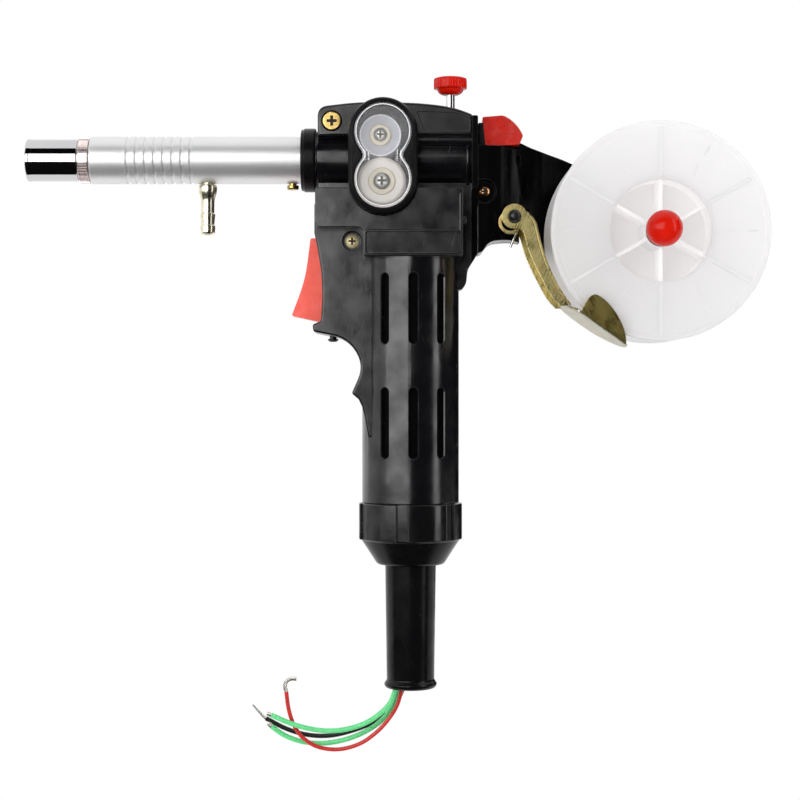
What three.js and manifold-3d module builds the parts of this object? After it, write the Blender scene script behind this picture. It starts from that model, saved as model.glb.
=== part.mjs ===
// MIG spool gun: a pistol-grip welding torch with its own wire spool, feed rollers and motor.
// Millimetres. +Z up, muzzle towards -X, the window side faces -Y.
// The origin is on the handle's axis, in the middle of the palm.
import * as THREE from 'three';
import { mergeVertices } from 'three/addons/utils/BufferGeometryUtils.js';
import Module from 'manifold-3d';

const wasm = await Module();
wasm.setup();

// ---------------------------------------------------------------- driving dimensions

const gap = 0.3; // clearance between pieces that touch

const wireZ = 101.6; // height of the wire line, which is also the barrel's axis

const handle = { r: 22.5, bore: 20, top: 54, bottom: -57.4, spigotR: 20.4, spigotEnd: -73 };
const webHalf = 13.5;
const blockHalf = 24;
const coreHalf = 12;
const panelHalf = 15.5;
const feedTubeR = 13.6;
const splitHalf = 0.15; // half of the joint line between the two shells

const barrel = { muzzle: -179.3, ringFront: -155.3, sleeveFront: -150, rear: -34, r: 10.95, bore: 8.6 };
const spigot = { r: 9, bore: 9.3, end: -141 };
const groove = { count: 8, first: -133, pitch: 4.19, width: 1.4, depth: 0.55 };
const nipple = { x: -94.3, top: 93.2, end: 67.1, stemR: 3.1, headR: 4.35, bore: 1.5 };
const collar = { front: -50.7, rear: -43.7, r: 14.75 };

const cover = { x: -12.6, lowZ: 89.5, highZ: 111, r: 15.8, front: -31, seat: -13.6 };
const eyeR = 13; // lobes of the window
const neckHalf = 8.5; // half of the window's waist

const drive = { x: -13.2, z: 89.9, r: 11.1 };
const press = { x: -13.9, z: 110.9, r: 9.5 };
const roller = { front: -17.5, rear: 3 };

const gear = { module: 1, driveTeeth: 22, idlerTeeth: 12, crownTeeth: 22, pinionTeeth: 9 };
const idler = { x: 0, z: drive.z - Math.sqrt(17 ** 2 - drive.x ** 2) };
const crown = { inner: 10, outer: 12.5, tip: 4.2, face: 5.9, back: 8 };
const spur = { front: 10, back: 14 };

const armPin = { x: 26.2, z: 112, r: 1.4 };
const tension = { x: 18.5, knobR: 7.85, knobLow: 131.9, knobTop: 140.5 };
const triggerPivot = { x: -39.6, z: 61.2 };

const spool = { x: 113.5, z: 67.1, r: 50, front: -22.5, back: 20.5, hubR: 24.6, openR: 23.2, coreR: 8 };
const flange = 2.2;
const hubFloor = { front: 18.3, back: 19.5 }; // closes the hub at its rear, on the rear half
const spindleR = 4;
const armBack = { front: 23.4, rear: 29.4 };
const brakePivot = { x: 47.4, z: 74.1, pinR: 2.9 };
const brakeSides = [-16, 12]; // outer faces of the brake lever's two cheeks
const sheet = 1.2; // thickness of the stamped lever

const nut = { r: 24, top: -57.7, padEnd: -74.4, coneR: 15.25, end: -86, grooves: 7 };
const boot = { topR: 11.75, lowR: 11, flangeR: 12.25, bead: -139.4, end: -143.7, bore: 9.2 };

// ---------------------------------------------------------------- looks

const black = { color: 0x1b1b1d, roughness: 0.5, metalness: 0 };
const dark = { color: 0x29292b, roughness: 0.6, metalness: 0 };
const red = { color: 0xc8141a, roughness: 0.35, metalness: 0 };
const salmon = { color: 0xd9453f, roughness: 0.45, metalness: 0 };
const milky = { color: 0xe9e9ea, roughness: 0.4, metalness: 0 };
const clear = { color: 0xdfe3e6, roughness: 0.1, metalness: 0 };
const cream = { color: 0xe8dfcb, roughness: 0.5, metalness: 0 };
const steel = { color: 0xa8abad, roughness: 0.35, metalness: 1 };
const chrome = { color: 0xd8dadd, roughness: 0.06, metalness: 1 };
const satin = { color: 0xc3c5c8, roughness: 0.38, metalness: 1 };
const brass = { color: 0xc9a24a, roughness: 0.3, metalness: 1 };
const copper = { color: 0xb87045, roughness: 0.35, metalness: 1 };
const zinc = { color: 0xb8ab6b, roughness: 0.35, metalness: 1 };

// ---------------------------------------------------------------- making solids

// A manifold solid from any closed three.js geometry, with its faces pointing out.
function solidOf(geometry) {
  const bare = geometry.clone();
  bare.deleteAttribute('normal');
  bare.deleteAttribute('uv');
  const merged = mergeVertices(bare, 1e-4);
  const points = merged.attributes.position.array;
  const triangles = [];
  const index = merged.index.array;
  for (let i = 0; i < index.length; i += 3) {
    const [a, b, c] = [index[i], index[i + 1], index[i + 2]];
    if (a !== b && b !== c && c !== a) triangles.push(a, b, c);
  }
  if (signedVolume(points, triangles) < 0) triangles.reverse();
  const mesh = new wasm.Mesh({
    numProp: 3,
    vertProperties: Float32Array.from(points),
    triVerts: Uint32Array.from(triangles),
  });
  return new wasm.Manifold(mesh);
}

function signedVolume(points, triangles) {
  const [a, b, c] = [new THREE.Vector3(), new THREE.Vector3(), new THREE.Vector3()];
  let six = 0;
  for (let i = 0; i < triangles.length; i += 3) {
    a.fromArray(points, 3 * triangles[i]);
    b.fromArray(points, 3 * triangles[i + 1]);
    c.fromArray(points, 3 * triangles[i + 2]);
    six += a.dot(b.cross(c));
  }
  return six;
}

function geometryOf(solid) {
  const mesh = solid.getMesh();
  const geometry = new THREE.BufferGeometry();
  geometry.setAttribute('position', new THREE.BufferAttribute(mesh.vertProperties, 3));
  geometry.setIndex(new THREE.BufferAttribute(mesh.triVerts, 1));
  geometry.computeVertexNormals();
  return geometry;
}

const join = (...solids) => solids.reduce((all, one) => all.add(one));
const cut = (solid, ...tools) => tools.reduce((rest, tool) => rest.subtract(tool), solid);

function box(x0, x1, y0, y1, z0, z1) {
  const geometry = new THREE.BoxGeometry(x1 - x0, y1 - y0, z1 - z0);
  geometry.translate((x0 + x1) / 2, (y0 + y1) / 2, (z0 + z1) / 2);
  return solidOf(geometry);
}

// A closed outline whose corners are [across, up, rounding].
function outline(corners) {
  const shape = new THREE.Shape();
  corners.forEach(([x, z, rounding = 0], i) => {
    const before = corners[(i + corners.length - 1) % corners.length];
    const after = corners[(i + 1) % corners.length];
    const enter = stepTowards([x, z], before, rounding);
    const leave = stepTowards([x, z], after, rounding);
    if (i === 0) shape.moveTo(...enter);
    else shape.lineTo(...enter);
    if (rounding > 0) shape.quadraticCurveTo(x, z, ...leave);
  });
  shape.closePath();
  return shape;
}

function stepTowards([x, z], [toX, toZ], distance) {
  const length = Math.hypot(toX - x, toZ - z);
  return [x + ((toX - x) * distance) / length, z + ((toZ - z) * distance) / length];
}

// A side-view outline (x, z) pushed through from y0 to y1.
const slab = (...sizes) => solidOf(slabGeometry(...sizes));

function slabGeometry(shape, y0, y1, bevel = 0, curveSegments = 3) {
  const geometry = new THREE.ExtrudeGeometry(shape, {
    depth: y1 - y0 - 2 * bevel,
    bevelEnabled: bevel > 0,
    bevelThickness: bevel,
    bevelSize: bevel,
    bevelOffset: -bevel,
    bevelSegments: 1,
    curveSegments,
  });
  geometry.rotateX(Math.PI / 2);
  geometry.translate(0, y1 - bevel, 0);
  return geometry;
}

// A plan outline (x, y) pushed up from z0 to z1.
function post(shape, z0, z1, curveSegments = 3) {
  const geometry = new THREE.ExtrudeGeometry(shape, { depth: z1 - z0, bevelEnabled: false, curveSegments });
  geometry.translate(0, 0, z0);
  return solidOf(geometry);
}

// A turned piece: profile points are [radius, station] along the given axis through `at`.
function turned(profile, axis, at = [0, 0, 0], segments = 20) {
  const geometry = new THREE.LatheGeometry(profile.map(([r, h]) => new THREE.Vector2(r, h)), segments);
  if (axis === 'x') geometry.rotateZ(-Math.PI / 2);
  if (axis === 'z') geometry.rotateX(Math.PI / 2);
  geometry.translate(...at);
  return solidOf(geometry);
}

const rod = (r, from, to, axis, at, segments = 16) =>
  turned([[0, from], [r, from], [r, to], [0, to]], axis, at, segments);

const ring = (inner, outer, from, to, axis, at, segments = 20) =>
  turned([[inner, from], [outer, from], [outer, to], [inner, to], [inner, from]], axis, at, segments);

// A round wire along a route of points.
function wire(points, radius, steps, sides = 8) {
  const section = new THREE.Shape();
  for (let i = 0; i < sides; i++) {
    const turn = (2 * Math.PI * i) / sides;
    const [x, y] = [radius * Math.cos(turn), radius * Math.sin(turn)];
    if (i === 0) section.moveTo(x, y);
    else section.lineTo(x, y);
  }
  section.closePath();
  const route = new THREE.CatmullRomCurve3(points.map((point) => new THREE.Vector3(...point)));
  return solidOf(new THREE.ExtrudeGeometry(section, { steps, extrudePath: route }));
}

// A coil about an axis, as a wire.
function coil({ r, wireR, turns, from, to, axis, at, sides = 4, stepsPerTurn = 8 }) {
  const points = [];
  const count = turns * stepsPerTurn;
  for (let i = 0; i <= count; i++) {
    const turn = (2 * Math.PI * i) / stepsPerTurn;
    const along = from + ((to - from) * i) / count;
    const [a, b] = [r * Math.cos(turn), r * Math.sin(turn)];
    const local = { x: [along, a, b], y: [a, along, b], z: [a, b, along] }[axis];
    points.push(local.map((value, k) => value + at[k]));
  }
  return wire(points, wireR, count, sides);
}

// A spur gear's outline: teeth that narrow from root to tip, one of them centred on `phase`.
function gearOutline(teeth, phase, [rootWidth, tipWidth] = [0.62, 0.24]) {
  const pitchR = (gear.module * teeth) / 2;
  const [rootR, tipR] = [pitchR - 1.2 * gear.module, pitchR + 0.95 * gear.module];
  const shape = new THREE.Shape();
  for (let i = 0; i < teeth; i++) {
    const middle = phase + (2 * Math.PI * i) / teeth;
    const pitch = (2 * Math.PI) / teeth;
    const corners = [
      [rootR, -rootWidth / 2],
      [tipR, -tipWidth / 2],
      [tipR, tipWidth / 2],
      [rootR, rootWidth / 2],
    ];
    corners.forEach(([r, share], k) => {
      const angle = middle + share * pitch;
      const point = [r * Math.cos(angle), r * Math.sin(angle)];
      if (i === 0 && k === 0) shape.moveTo(...point);
      else shape.lineTo(...point);
    });
  }
  shape.closePath();
  return shape;
}

const torch = new THREE.Group();
torch.name = 'mig_spool_gun';

function add(name, solid, look) {
  const mesh = new THREE.Mesh(geometryOf(solid), new THREE.MeshStandardMaterial(look));
  mesh.name = name;
  torch.add(mesh);
}

// ---------------------------------------------------------------- housing shells

const blockOutline = outline([
  [-43.4, 86.4],
  [-43.4, 68.5, 3],
  [-21.6, 68.5, 3.5],
  [-21.6, 55.4],
  [23.7, 55.4],
  [23.7, 86.4],
]);

// Finger side of the grip: guard hook, concave finger rest and the ridge below it.
const webOutline = outline([
  [-44.2, 80],
  [-44.2, 66.7],
  [-43.1, 61.7],
  [-40.9, 48.8, 4],
  [-40.5, 38, 4],
  [-41.2, 26.4],
  [-45.1, 24.8],
  [-44.6, 21.4],
  [-28.9, 18.3, 7],
  [-21.4, 6.2, 7],
  [-27.1, -6.8],
  [-22.6, -12.6, 2],
  [-19, -17],
  [-12, -17],
  [-12, 80],
]);

const coreOutline = outline([
  [-42.5, 80],
  [-42.5, 116],
  [30.8, 116],
  [30.8, 57.5],
  [26.3, 50.4],
  [17, 48],
  [17, 62],
  [-20, 62],
  [-20, 80],
]);

const gussetOutline = outline([
  [30.8, 62],
  [30.4, 57.8, 2],
  [26.3, 50.2, 2],
  [25.7, 43.9, 1.5],
  [23.6, 41, 1],
  [15, 41],
  [15, 62],
]);

const panelOutline = outline([
  [-42.6, 111],
  [-42.6, 124.4, 4.5],
  [-24, 126.6, 7],
  [5, 126.2, 9],
  [20.5, 124, 6],
  [28.4, 120.8],
  [28.4, 111],
]);

const panelRecess = outline([
  [2.7, 122.3, 1.2],
  [6.3, 113.4, 1],
  [27.1, 113.4, 0.8],
  [27.1, 119, 1],
  [22, 121.6, 3],
]);

// Blank field of the name plate.
const plaqueField = outline([
  [-20.2, 57, 1],
  [22, 57, 1],
  [22, 66.4, 1],
  [-20.2, 66.4, 1],
]);

function stadium(r, lowZ = cover.lowZ, highZ = cover.highZ) {
  const shape = new THREE.Shape();
  shape.absarc(cover.x, highZ, r, 0, Math.PI, false);
  shape.absarc(cover.x, lowZ, r, Math.PI, 2 * Math.PI, false);
  shape.closePath();
  return shape;
}

// Two lobes joined by a straight waist, the outline of the window and of the roller pocket.
function figureEight(r, waistHalf) {
  const shape = new THREE.Shape();
  const open = Math.asin(waistHalf / r);
  shape.absarc(cover.x, cover.highZ, r, open - Math.PI / 2, 1.5 * Math.PI - open, false);
  shape.absarc(cover.x, cover.lowZ, r, Math.PI / 2 + open, 2.5 * Math.PI - open, false);
  shape.closePath();
  return shape;
}

// The slots in the round of the handle: two rows of three on each side.
function handleSlots() {
  const slots = [];
  const width = 3.7;
  const rows = [[-36.3, -4.4], [16, 47.8]];
  for (const [low, high] of rows) {
    const shape = new THREE.Shape();
    shape.absarc(0, high - width / 2, width / 2, 0, Math.PI, false);
    shape.absarc(0, low + width / 2, width / 2, Math.PI, 2 * Math.PI, false);
    shape.closePath();
    for (const degrees of [-32, 3, 38, 142, 177, 212]) {
      const slot = slabGeometry(shape, -handle.r - 4, -handle.bore + 4, 0, 2);
      slots.push(solidOf(slot.rotateZ(THREE.MathUtils.degToRad(degrees))));
    }
  }
  return slots;
}

function housingForm() {
  const grip = turned(
    [[0, handle.spigotEnd], [handle.spigotR, handle.spigotEnd], [handle.spigotR, handle.bottom],
      [handle.r, handle.bottom], [handle.r, handle.top], [0, handle.top]],
    'z', [0, 0, 0], 28,
  );
  const feedTube = turned(
    [[0, -43.4], [13.1, -43.4], [feedTubeR, -42.9], [feedTubeR, 27.6], [12.6, 29.6], [0, 29.6]],
    'x', [0, 0, wireZ], 22,
  );
  const gearCase = turned(
    [[0, 0], [15.6, 0], [15.6, 18.6], [14.4, 19.8], [0, 19.8]],
    'y', [drive.x, 0, drive.z],
  );
  const ridge = (side) => rod(3.2, 2, 28.8, 'x', [0, 11.7 * side, 109.4], 10);
  const rearRib = slab(outline([[28, 87], [28, 120.4], [30.8, 120.4], [30.8, 87]]), -15.8, 15.8, 0.6);
  const tongue = box(30, 38.6, -3.7, 3.7, 80.2, 92);
  return join(
    grip,
    slab(webOutline, -webHalf, webHalf, 1.2),
    slab(blockOutline, -blockHalf, blockHalf, 1),
    slab(coreOutline, -coreHalf, coreHalf),
    slab(gussetOutline, -6, 6, 0.5),
    slab(panelOutline, -panelHalf, panelHalf, 1),
    feedTube,
    gearCase,
    ridge(1),
    ridge(-1),
    rearRib,
    tongue,
  );
}

// Everything that is hollow inside the housing, on both sides of the joint line.
function housingHollows() {
  return [
    rod(handle.bore, -52, 50, 'z', [0, 0, 0], 24),
    rod(18, -80, -51, 'z', [0, 0, 0], 20),
    ...handleSlots(),
    rod(2.7, 49, 63, 'z', [0, 0, 0], 12), // motor shaft
    rod(6.4, 62, 73, 'z', [0, 0, 0], 12), // motor pinion
    rod(barrel.r + gap, -50, barrel.rear + 0.4, 'x', [0, 0, wireZ], 18),
    rod(3.3, barrel.rear, -19, 'x', [0, 0, wireZ], 10), // outlet guide
    rod(2.9, -10, 40, 'x', [0, 0, wireZ], 10), // inlet guide
    slab(figureEight(12.4, 8), -40, roller.rear + 0.5, 0, 6),
    box(-19.6, 31.5, -5, 9.4, 105.2, 120.6), // pressure arm
    rod(2.4, 119, 130, 'z', [tension.x, 0, 0], 10), // tension screw
    rod(1.7, -9.6, 9.6, 'y', [armPin.x, 0, armPin.z], 12), // pressure arm's pin
    slab(triggerPocket, -5.7, 5.7),
    box(-32.2, -24.9, -3.6, 3.6, 37.6, 58.4), // switch
    rod(2.9, -31, -28.5, 'x', [0, 0, 31.5], 12), // seat of the trigger's spring
    rod(1.75, -9.6, 9.6, 'y', [triggerPivot.x, 0, triggerPivot.z], 12),
    rod(1.9, 17, 24, 'z', [-36, 0, 0], 12), // guard screw
    screwHole([-36.1, 117.8], -panelHalf, 4.5, 1.9, 1.9),
    screwHole([-26.9, 63.1], -webHalf, 4.25, 3.2, 1.9),
    rod(1.9, -5, 5, 'y', [33.9, 0, 86.1], 12),
  ];
}

const triggerPocket = outline([
  [-50, 65.6],
  [-34.6, 65.6, 2],
  [-31, 40, 1],
  [-31, 25.6, 1],
  [-50, 25.6],
]);

// A stepped screw hole that comes in from the window side.
function screwHole([x, z], faceY, headR, depth, shankR) {
  return join(
    rod(headR, faceY - 2, faceY + depth, 'y', [x, 0, z], 16),
    rod(shankR, faceY, 9, 'y', [x, 0, z], 10),
  );
}

function shells() {
  const whole = cut(housingForm(), ...housingHollows());
  const far = 200;
  const left = cut(
    whole,
    box(-far, far, -splitHalf, far, -far, far),
    slab(stadium(cover.r + gap), -40, cover.seat, 0, 8),
    slab(panelRecess, -panelHalf - 1, -panelHalf + 1),
    slab(plaqueField, -blockHalf - 1, -blockHalf + 0.6),
  );
  const right = cut(
    whole,
    box(-far, far, -far, splitHalf, -far, far),
    slab(panelRecess, panelHalf - 1, panelHalf + 1),
    rod(12.9, -1, spur.back + 0.6, 'y', [drive.x, 0, drive.z], 16), // drive gear
    rod(13.3, -1, crown.back + 0.6, 'y', [idler.x, 0, idler.z], 16), // crown gear
    rod(7.8, -1, spur.back + 0.6, 'y', [idler.x, 0, idler.z], 12), // idler pinion
    rod(3, spur.back, 18.2, 'y', [drive.x, 0, drive.z], 14), // drive axle's bearing
    rod(2.3, spur.back, 18.2, 'y', [idler.x, 0, idler.z], 12), // idler axle
  );
  return { left, right };
}

function spoolArm() {
  // Seen from above: a face that sweeps back from the head to pass behind the spool.
  const plan = new THREE.Shape();
  plan.moveTo(31.1, -11.6);
  plan.lineTo(35.5, -11.6);
  plan.bezierCurveTo(44, -11, 48, -6, 52, 4);
  plan.bezierCurveTo(57, 17, 62, armBack.front, 74, armBack.front);
  plan.lineTo(133, armBack.front);
  plan.lineTo(133, armBack.rear);
  plan.lineTo(72, armBack.rear);
  plan.bezierCurveTo(56, armBack.rear, 50, 14, 31.1, 11.6);
  plan.closePath();
  const side = outline([
    [31.1, 57.6, 0.5],
    [33, 58.4, 1],
    [36, 63, 2],
    [47, 64.4, 4],
    [62, 60, 8],
    [spool.x - 5, spool.z - 16.4],
    [spool.x, spool.z - 17],
    [spool.x, spool.z + 17],
    [spool.x - 5, spool.z + 16.4],
    [73.8, 99.9, 8],
    [52.6, 109.2, 1.5],
    [31.1, 109.2],
  ]);
  const bracket = cut(
    slab(side, -14, armBack.rear + 1, 0, 3).intersect(post(plan, 50, 115, 5)),
    box(50.6, 58.5, -20, 32, 50, 80.6), // room for the brake lever's back
  );
  const lugR = 4.6;
  const lug = join(
    rod(lugR, -6, 10.4, 'y', [brakePivot.x, 0, brakePivot.z]),
    box(brakePivot.x - lugR, brakePivot.x + lugR, 2, 10.4, brakePivot.z, brakePivot.z + 12),
  );
  const boss = rod(17, armBack.front, armBack.rear, 'y', [spool.x, 0, spool.z], 20);
  const spacer = rod(9, spool.back + gap, armBack.rear, 'y', [spool.x, 0, spool.z], 14);
  return cut(
    join(bracket, lug, boss, spacer),
    box(30, 53.5, -20, 1.6, 103.6, 120), // room for the release lever
    box(30, 53.5, 1, 14, 107, 120),
    rod(3, 28, 75, 'x', [0, 0, wireZ], 12),
    rod(spindleR + gap, 15, 35, 'y', [spool.x, 0, spool.z], 12),
    rod(brakePivot.pinR + gap, -20, 20, 'y', [brakePivot.x, 0, brakePivot.z], 12),
    rod(5.4, -14, -6.9, 'y', [brakePivot.x, 0, brakePivot.z]), // seat of the brake spring
    box(36, 57.5, 10.4, 32, 50, 80.6), // room for its rear cheek
    box(30, 39, -4, 4, 79.9, 92.3),
    rod(3.4, -14, -8.6, 'y', [33.9, 0, 86.1], 14),
    rod(1.9, -14, 9, 'y', [33.9, 0, 86.1], 10),
  );
}

function gearCover() {
  return cut(
    slab(stadium(cover.r), cover.front, cover.seat - gap, 1.2, 8),
    slab(figureEight(12.4, 8), cover.front - 1, cover.seat, 0, 6),
    slab(figureEight(eyeR + gap, neckHalf + gap), cover.front - 1, -28.6, 0, 6),
  );
}

const windowPane = () => slab(figureEight(eyeR, neckHalf), cover.front - 0.6, -28.9, 0.7, 6);

// ---------------------------------------------------------------- barrel

function sleeve() {
  const profile = [[barrel.bore, barrel.rear], [barrel.bore, spigot.end + 0.6]];
  profile.push([spigot.bore, spigot.end + 0.6], [spigot.bore, barrel.sleeveFront]);
  profile.push([barrel.r - 0.4, barrel.sleeveFront], [barrel.r, barrel.sleeveFront + 0.4]);
  for (let i = 0; i < groove.count; i++) {
    const x = groove.first + i * groove.pitch;
    const middle = x + groove.width / 2;
    profile.push([barrel.r, x], [barrel.r - groove.depth, middle], [barrel.r, x + groove.width]);
  }
  profile.push([barrel.r, barrel.rear], [barrel.bore, barrel.rear]);
  return cut(
    turned(profile, 'x', [0, 0, wireZ], 18),
    rod(2.8, wireZ - 14, wireZ - 5, 'z', [nipple.x, 0, 0], 12),
    rod(2, wireZ - 14, wireZ - 5, 'z', [-54.7, 0, 0], 10),
  );
}

function nozzle() {
  const profile = [
    [7.9, spigot.end],
    [7.9, barrel.muzzle + 0.5],
    [8.3, barrel.muzzle],
    [9.4, barrel.muzzle],
    [9.85, barrel.muzzle + 0.5],
    [9.85, barrel.ringFront - gap],
    [spigot.r, barrel.ringFront - gap],
    [spigot.r, spigot.end],
    [7.9, spigot.end],
  ];
  return turned(profile, 'x', [0, 0, wireZ], 20);
}

// Fine straight serrations all round the lock ring.
function lockRing() {
  const teeth = 24;
  const shape = new THREE.Shape();
  for (let i = 0; i < 2 * teeth; i++) {
    const angle = (Math.PI * i) / teeth;
    const r = i % 2 === 0 ? 10.65 : 10.25;
    const point = [r * Math.cos(angle), r * Math.sin(angle)];
    if (i === 0) shape.moveTo(...point);
    else shape.lineTo(...point);
  }
  shape.closePath();
  const length = barrel.sleeveFront - gap - barrel.ringFront;
  const body = new THREE.ExtrudeGeometry(shape, { depth: length, bevelEnabled: false });
  body.rotateY(Math.PI / 2);
  body.translate(barrel.ringFront, 0, wireZ);
  return cut(solidOf(body), rod(9.4, -160, -140, 'x', [0, 0, wireZ], 18));
}

const hoseBarb = () => turned([
  [nipple.bore, nipple.end],
  [2.7, nipple.end],
  [3.1, nipple.end + 0.9],
  [3.85, 71.4],
  [3.85, 71.8],
  [nipple.stemR, 72.1],
  [nipple.stemR, 73.6],
  [3.8, 76.4],
  [3.8, 76.8],
  [nipple.stemR, 77.1],
  [3.2, 82.6],
  [nipple.headR, 85.4],
  [nipple.headR, 90.1],
  [2.5, 90.1],
  [2.5, nipple.top],
  [nipple.bore, nipple.top],
  [nipple.bore, nipple.end],
], 'z', [nipple.x, 0, 0], 12);

function setScrew() {
  const body = rod(1.75, 87.9, 93.2, 'z', [-54.7, 0, 0], 10);
  const head = rod(2.75, 87.9, 89.9, 'z', [-54.7, 0, 0], 14);
  return cut(join(body, head), box(-58, -51, -0.4, 0.4, 87, 88.8));
}

const conductorTube = () => ring(1.2, 4.5, -150.3, -37, 'x', [0, 0, wireZ], 12);
const barrelBush = () => ring(4.8, 8.3, -52, -38, 'x', [0, 0, wireZ], 14);

function diffuser() {
  const body = turned(
    [[1.2, -163], [4.6, -163], [5.4, -162], [5.4, -150.6], [1.2, -150.6], [1.2, -163]],
    'x', [0, 0, wireZ], 14,
  );
  return cut(body, rod(1, -8, 8, 'y', [-155, 0, wireZ], 8));
}

const contactTip = () => turned([
  [0.6, -175.5],
  [1.6, -175.5],
  [2.9, -172.5],
  [2.9, -167],
  [3.7, -166.2],
  [3.7, -163.3],
  [0.6, -163.3],
  [0.6, -175.5],
], 'x', [0, 0, wireZ], 14);

const frontCollar = () => turned([
  [barrel.r + gap, collar.front],
  [14.2, collar.front],
  [14.2, -49.5],
  [collar.r, -49.1],
  [collar.r, collar.rear - 0.6],
  [collar.r - 0.6, collar.rear],
  [barrel.r + gap, collar.rear],
  [barrel.r + gap, collar.front],
], 'x', [0, 0, wireZ], 22);

// ---------------------------------------------------------------- wire feed

const outletGuide = () => turned(
  [[0.8, -33.3], [3, -33.3], [3, -24.4], [1.3, -19.6], [0.8, -19.6], [0.8, -33.3]],
  'x', [0, 0, wireZ - 0.2], 10,
);

const inletGuide = () => turned(
  [[0.8, -7.6], [1.2, -7.6], [2.5, -4], [2.5, 40], [0.8, 40], [0.8, -7.6]],
  'x', [0, 0, wireZ - 0.2], 10,
);

// A feed roller: a broad face behind the window and a grooved rim on the wire line.
function feedRoller({ x, z, r }, boreR) {
  const waist = r - 3;
  return turned([
    [boreR, roller.front],
    [r - 0.5, roller.front],
    [r, roller.front + 0.5],
    [r, -12.5],
    [waist, -11.5],
    [waist, -4.4],
    [r, -3.6],
    [r, -0.7],
    [r - 0.5, 0],
    [r, 0.7],
    [r, roller.rear],
    [boreR, roller.rear],
    [boreR, roller.front],
  ], 'y', [x, 0, z], 20);
}

function panScrew(r, headY, [x, z], shankR, shankEnd) {
  return turned(
    [[0, headY], [0.55 * r, headY + 0.2], [r, headY + 1.1], [r, headY + 2.1], [shankR, headY + 2.1],
      [shankR, shankEnd], [0, shankEnd]],
    'y', [x, 0, z], 12,
  );
}

function driveAxle() {
  return cut(
    rod(2.7, -17.2, 17.6, 'y', [drive.x, 0, drive.z], 12),
    rod(1.5, -18, -11.4, 'y', [drive.x, 0, drive.z], 8),
  );
}

function pressAxle() {
  return cut(
    rod(2.1, -17.2, 8.9, 'y', [press.x, 0, press.z], 12),
    rod(1.4, -18, -11.4, 'y', [press.x, 0, press.z], 8),
  );
}

// Direction from the drive gear's centre to the idler's, so that a tooth meets a gap there.
const meshAngle = Math.atan2(idler.z - drive.z, idler.x - drive.x);

function driveGear() {
  const shape = gearOutline(gear.driveTeeth, meshAngle);
  const wheel = slabGeometry(shape, spur.front, spur.back);
  wheel.translate(drive.x, 0, drive.z);
  return cut(solidOf(wheel), rod(2.95, 0, 20, 'y', [drive.x, 0, drive.z], 12));
}

function idlerGear() {
  const phase = meshAngle + Math.PI + Math.PI / gear.idlerTeeth;
  const pinion = slabGeometry(gearOutline(gear.idlerTeeth, phase), crown.back - 0.5, spur.back);
  pinion.translate(idler.x, 0, idler.z);
  const disc = rod(crown.outer, crown.face, crown.back, 'y', [idler.x, 0, idler.z], 22);
  const teeth = [];
  for (let i = 0; i < gear.crownTeeth; i++) {
    const turn = ((i + 0.5) * 2 * Math.PI) / gear.crownTeeth;
    const halfShare = 0.15 * ((2 * Math.PI) / gear.crownTeeth);
    const [inner, outer] = [crown.inner, crown.outer - 0.05];
    const tooth = new THREE.Shape();
    tooth.moveTo(-inner * halfShare, -inner);
    tooth.lineTo(-outer * halfShare, -outer);
    tooth.lineTo(outer * halfShare, -outer);
    tooth.lineTo(inner * halfShare, -inner);
    tooth.closePath();
    const wedge = slabGeometry(tooth, crown.tip, crown.face + 0.5);
    wedge.rotateY(turn);
    wedge.translate(idler.x, 0, idler.z);
    teeth.push(solidOf(wedge));
  }
  return cut(
    join(disc, solidOf(pinion), ...teeth),
    rod(2.2, 0, 20, 'y', [idler.x, 0, idler.z], 10),
  );
}

const idlerAxle = () => rod(1.9, crown.face, 17.8, 'y', [idler.x, 0, idler.z], 10);

function motorPinion() {
  const shape = gearOutline(gear.pinionTeeth, Math.PI / 2, [0.52, 0.2]);
  return cut(post(shape, idler.z - crown.outer, idler.z - crown.inner), rod(2.1, 50, 80, 'z', [0, 0, 0], 10));
}

const motorShaft = () => rod(1.8, 47.8, 70.2, 'z', [0, 0, 0], 10);

// Motor can below, gear case above, bolted together as one bought unit.
const gearMotor = () => turned([
  [0, -50],
  [8, -50],
  [8, -47.6],
  [17, -47.6],
  [19.4, -46],
  [19.4, -41.6],
  [18, -41],
  [18, 3],
  [19.4, 3.6],
  [19.4, 11],
  [17.4, 11.6],
  [17.4, 40],
  [19.4, 40.6],
  [19.4, 44],
  [12, 44],
  [6, 47.4],
  [0, 47.4],
], 'z', [0, 0, 0], 16);

// The pressure arm: it carries the upper roller and is pressed down by the tension spring.
function pressureArm() {
  const beam = outline([
    [press.x, press.z - 4.4],
    [8, 107.6],
    [armPin.x, armPin.z - 4],
    [armPin.x, armPin.z + 4],
    [0, 115.4],
    [press.x, press.z + 4.4],
  ]);
  return cut(
    join(
      slab(beam, 3.7, 8.7),
      rod(4.4, 3.7, 8.7, 'y', [press.x, 0, press.z], 12),
      rod(4, -4.2, 8.7, 'y', [armPin.x, 0, armPin.z], 12),
      box(14, armPin.x, -4.2, 8.7, 107.7, 110),
      box(armPin.x, 43, -4.2, 0.2, 109.6, 114.2),
    ),
    rod(2.7, 100, 112, 'z', [tension.x, 0, 0], 10),
    rod(armPin.r + gap, -10, 10, 'y', [armPin.x, 0, armPin.z], 10),
    rod(2.4, -10, 10, 'y', [press.x, 0, press.z], 12),
  );
}

function releaseLever() {
  const side = outline([
    [33.4, 107.4],
    [49.9, 107.6],
    [51.7, 111.8],
    [48.6, 117.2, 3],
    [42.9, 121.1],
    [33.4, 120.6],
  ]);
  return cut(slab(side, -9, 1, 0.8, 4), box(30, 43.4, -4.5, 0.5, 109.3, 114.5));
}

const tensionScrew = () => turned([
  [0, 108.4],
  [2.1, 108.4],
  [2.1, 118.9],
  [3.4, 118.9],
  [3.4, 120.2],
  [2.1, 120.2],
  [2.1, 135.6],
  [0, 135.6],
], 'z', [tension.x, 0, 0], 10);

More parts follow.
